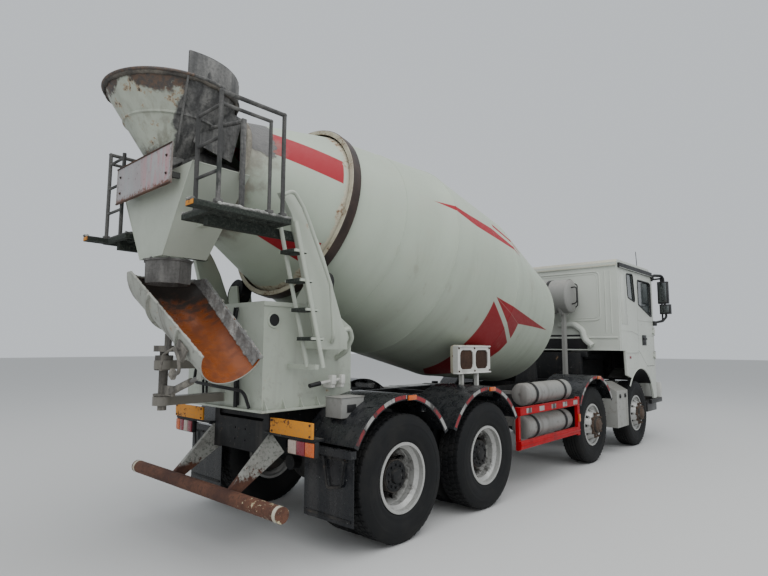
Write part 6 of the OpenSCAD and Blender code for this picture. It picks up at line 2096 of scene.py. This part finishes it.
    def mirror_heads(self) -> None:
        """Rounded mirror housings with their glass, facing back."""
        parts, glass = [], []
        for y0, y1, z0, z1 in ((1.241, 1.424, 2.502, 2.923), (1.266, 1.454, 2.302, 2.483)):
            parts.append(self.slab("rim", (7.5805, -y1, z0), (7.5975, -y0, z1), 0.006))
            glass.append(self.slab("glass", (7.5790, -y1 + 0.024, z0 + 0.024), (7.5806, -y0 - 0.024, z1 - 0.024),
                0.0006))
        parts.append(self.pipe("arm", [(7.335, -1.215, 2.995), (7.38, -1.245, 3.030), (7.60, -1.315, 3.040), (7.655,
            -1.335, 2.99), (7.655, -1.335, 2.60)], 0.027, 0.08))
        parts.append(self.pipe("arm", [(7.655, -1.335, 2.60), (7.660, -1.360, 2.25), (7.62, -1.30, 2.165), (7.36,
            -1.225, 2.130)], 0.022, 0.06))
        parts.append(self.slab("root", (7.325, -1.245, 2.960), (7.400, -1.201, 3.020), 0.008))
        parts.append(self.slab("foot", (7.325, -1.250, 2.070), (7.445, -1.203, 2.160), 0.012))
        self.both("mirror_rims", parts, Coat.PLASTIC)
        self.both("mirror_glasses", glass, Coat.MIRROR)
        cover = [self.slab("cover", (7.668, -1.418, 2.51), (7.6850, -1.247, 2.915), 0.010)]
        self.both("mirror_covers", cover, Coat.CAB)
        aerial = [self.pipe("aerial", [(7.02, -1.05, 3.135), (7.02, -1.06, 3.20), (6.98, -1.06, 3.46)], 0.006, 0.02),
            Bench.bar("foot", self.at(7.02, -1.05, 3.130), self.at(7.02, -1.05, 3.160), 0.024, 20, 0.018)]
        self.finish("aerial", aerial, Coat.PLASTIC, "cab_body")

    def front(self) -> None:
        """Grille slats and bars, headlamps, front lamps and the bumper's fittings."""
        x = self.front_x + 0.0252
        slats = [self.slab("slat", (x, -0.78, z), (x + 0.010, 0.78, z + 0.018), 0.004) for z in (1.09, 1.15, 1.21,
            1.33, 1.39, 1.45, 1.57, 1.63, 1.69)]
        self.finish("grille_slats", slats, Coat.PLASTIC, "cab_body")
        bars = [self.slab("bar", (x, -0.79, z), (x + 0.016, 0.79, z + 0.036), 0.006) for z in (1.262, 1.502)]
        bars += [self.slab("bar", (x, -0.79, z), (x + 0.012, 0.79, z + 0.018), 0.004) for z in (1.06, 1.80)]
        self.finish("grille_bars", bars, Coat.BRIGHT, "cab_body")
        bumper = Bench.from_node("bumper", "front_bumper", 0.007)
        lamps, rings, ambers, cutters = [], [], [], [self.slab("cut", (7.688, -0.42, 0.80), (7.8, 0.42, 0.93), 0.004)]
        for side in (-1.0, 1.0):
            for y, r in ((0.70, 0.075), (0.89, 0.068)):
                centre = self.at(7.676, side * y, 0.86)
                cutters.append(Bench.bar("cut", centre, centre + Vector((0.1, 0, 0)), r + 0.014, 32))
                lens = Bench.turned("lens", [(0.0006, r - 0.006), (0.006, r - 0.010), (0.014, r * 0.6), (0.017, 0.0)],
                    32)
                lens.data.transform(Matrix.Translation(centre))
                ring = Bench.turned("ring", [(-0.001, r - 0.006), (0.008, r - 0.004), (0.008, r + 0.008), (-0.001,
                    r + 0.012)], 32, closed=True)
                ring.data.transform(Matrix.Translation(centre))
                lamps.append(lens)
                rings.append(ring)
            y0, y1 = sorted((side * 0.985, side * 1.06))
            cutters.append(self.slab("cut", (7.682, y0, 0.80), (7.8, y1, 0.92), 0.004))
            ambers.append(self.slab("turn", (7.680, y0 + 0.004, 0.804), (7.694, y1 - 0.004, 0.916), 0.005))
        for cutter in cutters:
            Bench.modify(bumper, "BOOLEAN", object=cutter, operation="DIFFERENCE", solver="EXACT")
            Bench.drop(cutter)
        self.finish("bumper_shell", [bumper], Coat.BUMPER, stands_for=("front_bumper",))
        meshes = [self.slab("mesh", (7.689, -0.41, z), (7.694, 0.41, z + 0.009), 0.002) for z in (0.81, 0.83, 0.85,
            0.87, 0.89, 0.91)]
        self.finish("head_lamps", lamps, Coat.CLEAR)
        self.finish("head_lamp_rings", rings, Coat.BRIGHT)
        self.finish("front_turn_lamps", ambers, Coat.AMBER)
        self.finish("bumper_mesh", meshes, Coat.PLASTIC)
        treads = []
        for z in (0.671,):
            for n in range(10):
                tx = 6.975 + n * 0.052
                treads.append(self.slab("tread", (tx, -1.145, z - 0.001), (tx + 0.030, -0.90, z + 0.006), 0.002))
        treads.append(self.slab("lip", (6.962, -1.1535, 0.628), (7.498, -1.1495, 0.668), 0.0015))
        self.finish("cab_step_treads", treads + [self.other_side(part) for part in treads], Coat.PLASTIC)

    def cushion(self, name: str, low: Point, high: Point, crown: float) -> Object:
        """A padded block with rounded, crowned faces."""
        low, high = self.at(*low), self.at(*high)
        piece = Bench.block(name, low, high)
        with Bench.editing(piece, "EDGE"):
            Bench.whole()
            bpy.ops.mesh.subdivide(number_cuts=3, smoothness=0.0)
        centre, half = (low + high) / 2, (high - low) / 2
        for vertex in piece.data.vertices:
            place = [(vertex.co[n] - centre[n]) / half[n] for n in range(3)]
            inside = [1.0 - abs(value) ** 2 for value in place]
            for n in range(3):
                others = [inside[m] for m in range(3) if m != n]
                if abs(place[n]) > 0.99:
                    vertex.co[n] += math.copysign(crown * others[0] * others[1] - crown, place[n])
        Bench.modify(piece, "SUBSURF", levels=2, render_levels=2)
        return piece

    def inside(self) -> None:
        """Padded seats with their bases, dash and steering wheel."""
        for label, side in (("right", -1.0), ("left", 1.0)):
            def span(near: float, far: float) -> tuple[float, float]:
                """Lower and higher y on this side."""
                return (near, far) if side > 0 else (-far, -near)
            y0, y1 = span(0.545, 1.015)
            seat = self.cushion("seat", (6.16, y0, 1.80), (6.59, y1, 2.005), 0.018)
            y0, y1 = span(0.550, 1.010)
            back = self.cushion("back", (6.105, y0, 1.99), (6.225, y1, 2.50), 0.014)
            y0, y1 = span(0.650, 0.910)
            head = self.cushion("head", (6.108, y0, 2.525), (6.205, y1, 2.70), 0.012)
            pads = self.finish(f"seat_{label}", [seat, back, head], Coat.CLOTH, "cab_body",
                ("cab_inside",) if label == "right" else (), 70)
        parts = []
        for side in (-1.0, 1.0):
            y0, y1 = sorted((side * 0.56, side * 1.0))
            parts.append(self.slab("base", (6.18, y0, 1.661), (6.56, y1, 1.80), 0.02))
            for y in (0.74, 0.82):
                parts.append(self.pipe("stem", [(6.16, side * y, 2.48), (6.16, side * y, 2.55)], 0.006))
        parts.append(self.plate("dash", [(7.13, -1.045, 1.665), (7.125, -1.045, 1.90), (7.16, -1.045, 1.965), (7.30,
            -1.045, 1.985), (7.415, -1.045, 1.96), (7.415, -1.045, 1.665)], (0, 2.09, 0), 0.012))
        wheel = Bench.turned("wheel", [(0.014 * math.sin(a),
            0.220 + 0.014 * math.cos(a)) for a in (2 * math.pi * n / 10 for n in range(10))], 48, closed=True)
        turn = Matrix.Translation(self.at(7.0, 0.78, 2.14)) @ Matrix.Rotation(math.radians(-30), 4, "Y")
        hub = Bench.bar("hub", (-0.01, 0, 0), (0.04, 0, 0), 0.055, 20, 0.04)
        spokes = [Bench.bar("spoke", (0.012, 0, 0), (0.002, 0.212 * math.sin(a), 0.212 * math.cos(a)), 0.016, 8,
            0.010) for a in (math.radians(v) for v in (90, 210, -90, 150))]
        for part in (wheel, hub, *spokes):
            part.data.transform(turn)
        column = Bench.bar("column", self.at(7.02, 0.78, 2.12), self.at(7.20, 0.78, 1.96), 0.028, 16, 0.036)
        parts += [wheel, hub, *spokes, column]
        self.finish("cab_fittings", parts, Coat.TRIM, "cab_body")

    def build(self) -> None:
        """Builds the pieces."""
        self.roof()
        self.rear()
        self.glazing()
        self.doors()
        self.fender()
        self.mirror_heads()
        self.front()
        self.inside()


@dataclass
class Studio:
    """The camera of the photograph, a pale floor and soft light."""

    spot: Point = (-6.4475, -4.320, 1.670)
    heading: float = 42.23
    pitch: float = 6.147
    roll: float = 0.188
    focal_px: float = 540.5
    photo_width: int = 768

    def camera(self) -> None:
        """Sets up the camera at the photograph's place."""
        yaw, pitch, roll = (math.radians(a) for a in (self.heading, self.pitch, self.roll))
        ahead = Vector((math.cos(yaw) * math.cos(pitch), math.sin(yaw) * math.cos(pitch), math.sin(pitch)))
        level = ahead.cross(Vector((0, 0, 1))).normalized()
        upright = level.cross(ahead)
        right = level * math.cos(roll) + upright * math.sin(roll)
        up = upright * math.cos(roll) - level * math.sin(roll)
        eye = bpy.data.cameras.new("camera")
        eye.sensor_width = 36.0
        eye.lens = self.focal_px * eye.sensor_width / self.photo_width
        eye.clip_end = 200.0
        holder = bpy.data.objects.new("camera", eye)
        bpy.context.scene.collection.objects.link(holder)
        holder.matrix_world = Matrix.Translation(self.spot) @ Matrix((right, up, -ahead)).transposed().to_4x4()
        bpy.context.scene.camera = holder

    def floor(self) -> None:
        """Lays a plain pale floor."""
        Bench.clear()
        bpy.ops.mesh.primitive_plane_add(size=160.0)
        ground = bpy.context.object
        ground.name = "floor"
        shade = Shade("floor")
        shade.colour((0.56, 0.56, 0.55))
        shade.rough(0.9)
        ground.data.materials.append(shade.material)

    def light(self) -> None:
        """Hangs a wide soft light overhead and a fill behind the camera."""
        world = bpy.data.worlds.new("sky")
        world.use_nodes = True
        back = world.node_tree.nodes["Background"]
        back.inputs["Color"].default_value = (0.80, 0.84, 0.88, 1.0)
        back.inputs["Strength"].default_value = 0.85
        bpy.context.scene.world = world
        for name, size, power, place, aim in (("overhead", 16.0, 1500.0, (-2.0, -5.0, 12.0), (0.0, 0.0, 1.5)),
                ("fill", 9.0, 260.0, (-11.0, -6.0, 5.0), (-3.0, 0.0, 1.8))):
            lamp = bpy.data.lights.new(name, "AREA")
            lamp.size = size
            lamp.energy = power
            holder = bpy.data.objects.new(name, lamp)
            bpy.context.scene.collection.objects.link(holder)
            way = Vector(aim) - Vector(place)
            holder.matrix_world = Matrix.Translation(place) @ way.to_track_quat("-Z", "Y").to_matrix().to_4x4()

    def build(self) -> None:
        """Sets up camera, floor and light."""
        self.camera()
        self.floor()
        self.light()


NODE_COATS: dict[str, Coat] = {"frame": Coat.CHASSIS, "subframe": Coat.CHASSIS, "springs": Coat.CHASSIS,
    "steer_axles": Coat.CHASSIS, "drive_axles": Coat.CHASSIS, "powertrain": Coat.CHASSIS, "front_bumper": Coat.BUMPER,
    "mudguards": Coat.GUARD, "side_guards": Coat.RED, "air_tanks": Coat.TANK, "fuel_tank": Coat.ALLOY,
    "step_boxes": Coat.ALLOY, "underrun_bar": Coat.RUSTED_TUBE, "rear_lamps": Coat.CHASSIS,
    "drum_drive": Coat.CHASSIS, "water_tank": Coat.TANK, "rear_pedestal": Coat.PALE, "platforms": Coat.CAGE,
    "ladder": Coat.PALE, "number_board": Coat.BOARD, "discharge_funnel": Coat.PALE, "charging_hopper": Coat.HOPPER,
    "drum": Coat.BARREL, "drum_ring": Coat.RING, "drum_hatch": Coat.PALE, "roller_right": Coat.CHASSIS,
    "roller_left": Coat.CHASSIS, "chute_swivel": Coat.WORKS, "chute": Coat.CHUTE_OUT, "chute_jack": Coat.WORKS,
    "chute_rod": Coat.STEEL, "cab_shell": Coat.CAB, "cab_glass": Coat.GLASS, "cab_inside": Coat.TRIM,
    "cab_grille": Coat.PLASTIC, "mirrors": Coat.PLASTIC, "door_right": Coat.CAB, "door_left": Coat.CAB,
    "door_glass_right": Coat.GLASS, "door_glass_left": Coat.GLASS,}


def coat_nodes(layout: Layout, palette: Palette) -> None:
    """Gives every CAD node its finish.

    Args:
        layout: where the wheels are.
        palette: the finishes.
    """
    # rims turn dark inside these radii: painted shade of the dish, with brake dust and mud
    rims = [RimPaint(f"rim_silver_{n}", (along, 0.0, layout.tyre_radius), 0.232 if n > 2 else 0.150).build() for n,
        along in enumerate(layout.axles, 1)]
    for name, node in frame["nodes"].items():
        start, _, number = name.partition("_")
        if start == "rim":
            finish = rims[int(number[0]) - 1]
        else:
            finish = palette[NODE_COATS.get(name) or {"knuckle": Coat.CHASSIS, "tyre": Coat.RUBBER}[start]]
        node.data.materials.clear()
        node.data.materials.append(finish)


FIELDS = (PaintField(((-0.93, 43.5), (-0.094, 64.2), (-0.094, 82.4), (-0.93, 73.5))), PaintField(((-0.635, 147.0),
    (-0.625, 143.0), (-0.517, 135.6), (-0.094, 124.5), (-0.094, 143.0))), PaintField(((0.983, 68.1), (1.283, 65.6),
    (1.587, 64.2), (1.682, 69.4))), PaintField(((1.587, 64.2), (2.105, 60.9), (2.120, 67.6), (1.682, 69.4))),
    PaintField(((2.105, 60.9), (2.850, 64.6), (2.120, 67.6))), PaintField(((2.190, 57.4), (2.204, 54.0), (2.900,
    60.0), (2.880, 61.2))), PaintField(((2.178, 106.7), (2.906, 125.2), (2.885, 133.6), (2.642, 160.1), (2.474,
    178.9), (2.223, 171.0), (2.150, 136.5))), PaintField(((2.197, 103.7), (3.881, 103.4), (2.904, 111.3))),
    PaintField(((2.197, 103.7), (2.904, 111.3), (2.917, 122.0))),)


def main() -> None:
    """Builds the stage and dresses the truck."""
    logging.basicConfig(level=logging.INFO, format="%(message)s")
    layout = Layout()
    Studio().build()
    hopper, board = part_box("charging_hopper"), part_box("number_board")
    palette = Palette((DrumPaint("drum_paint", tuple(layout.ring_centre), layout.slope, fields=FIELDS),
        RingPaint("ring_steel", tuple(layout.ring_centre), layout.slope), HopperPaint("hopper_paint",
        hopper[0].x + 0.42, 3.203, 3.763), BoardPaint("board_paint", board[0].z, board[0].x + 0.010),
        LiningPaint("chute_lining", tuple(sum(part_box("chute"), Vector()) / 2), math.radians(-35)),))
    coat_nodes(layout, palette)
    for kind in (Wheels, DrumWork, HopperWork, Rear, Guards, ChuteWork, FunnelWork, CageWork, Tanks, SideGear,
            CabWork):
        kind(layout, palette).build()
        LOG.info("%s done", kind.__name__)


if __name__ == "__main__":
    main()
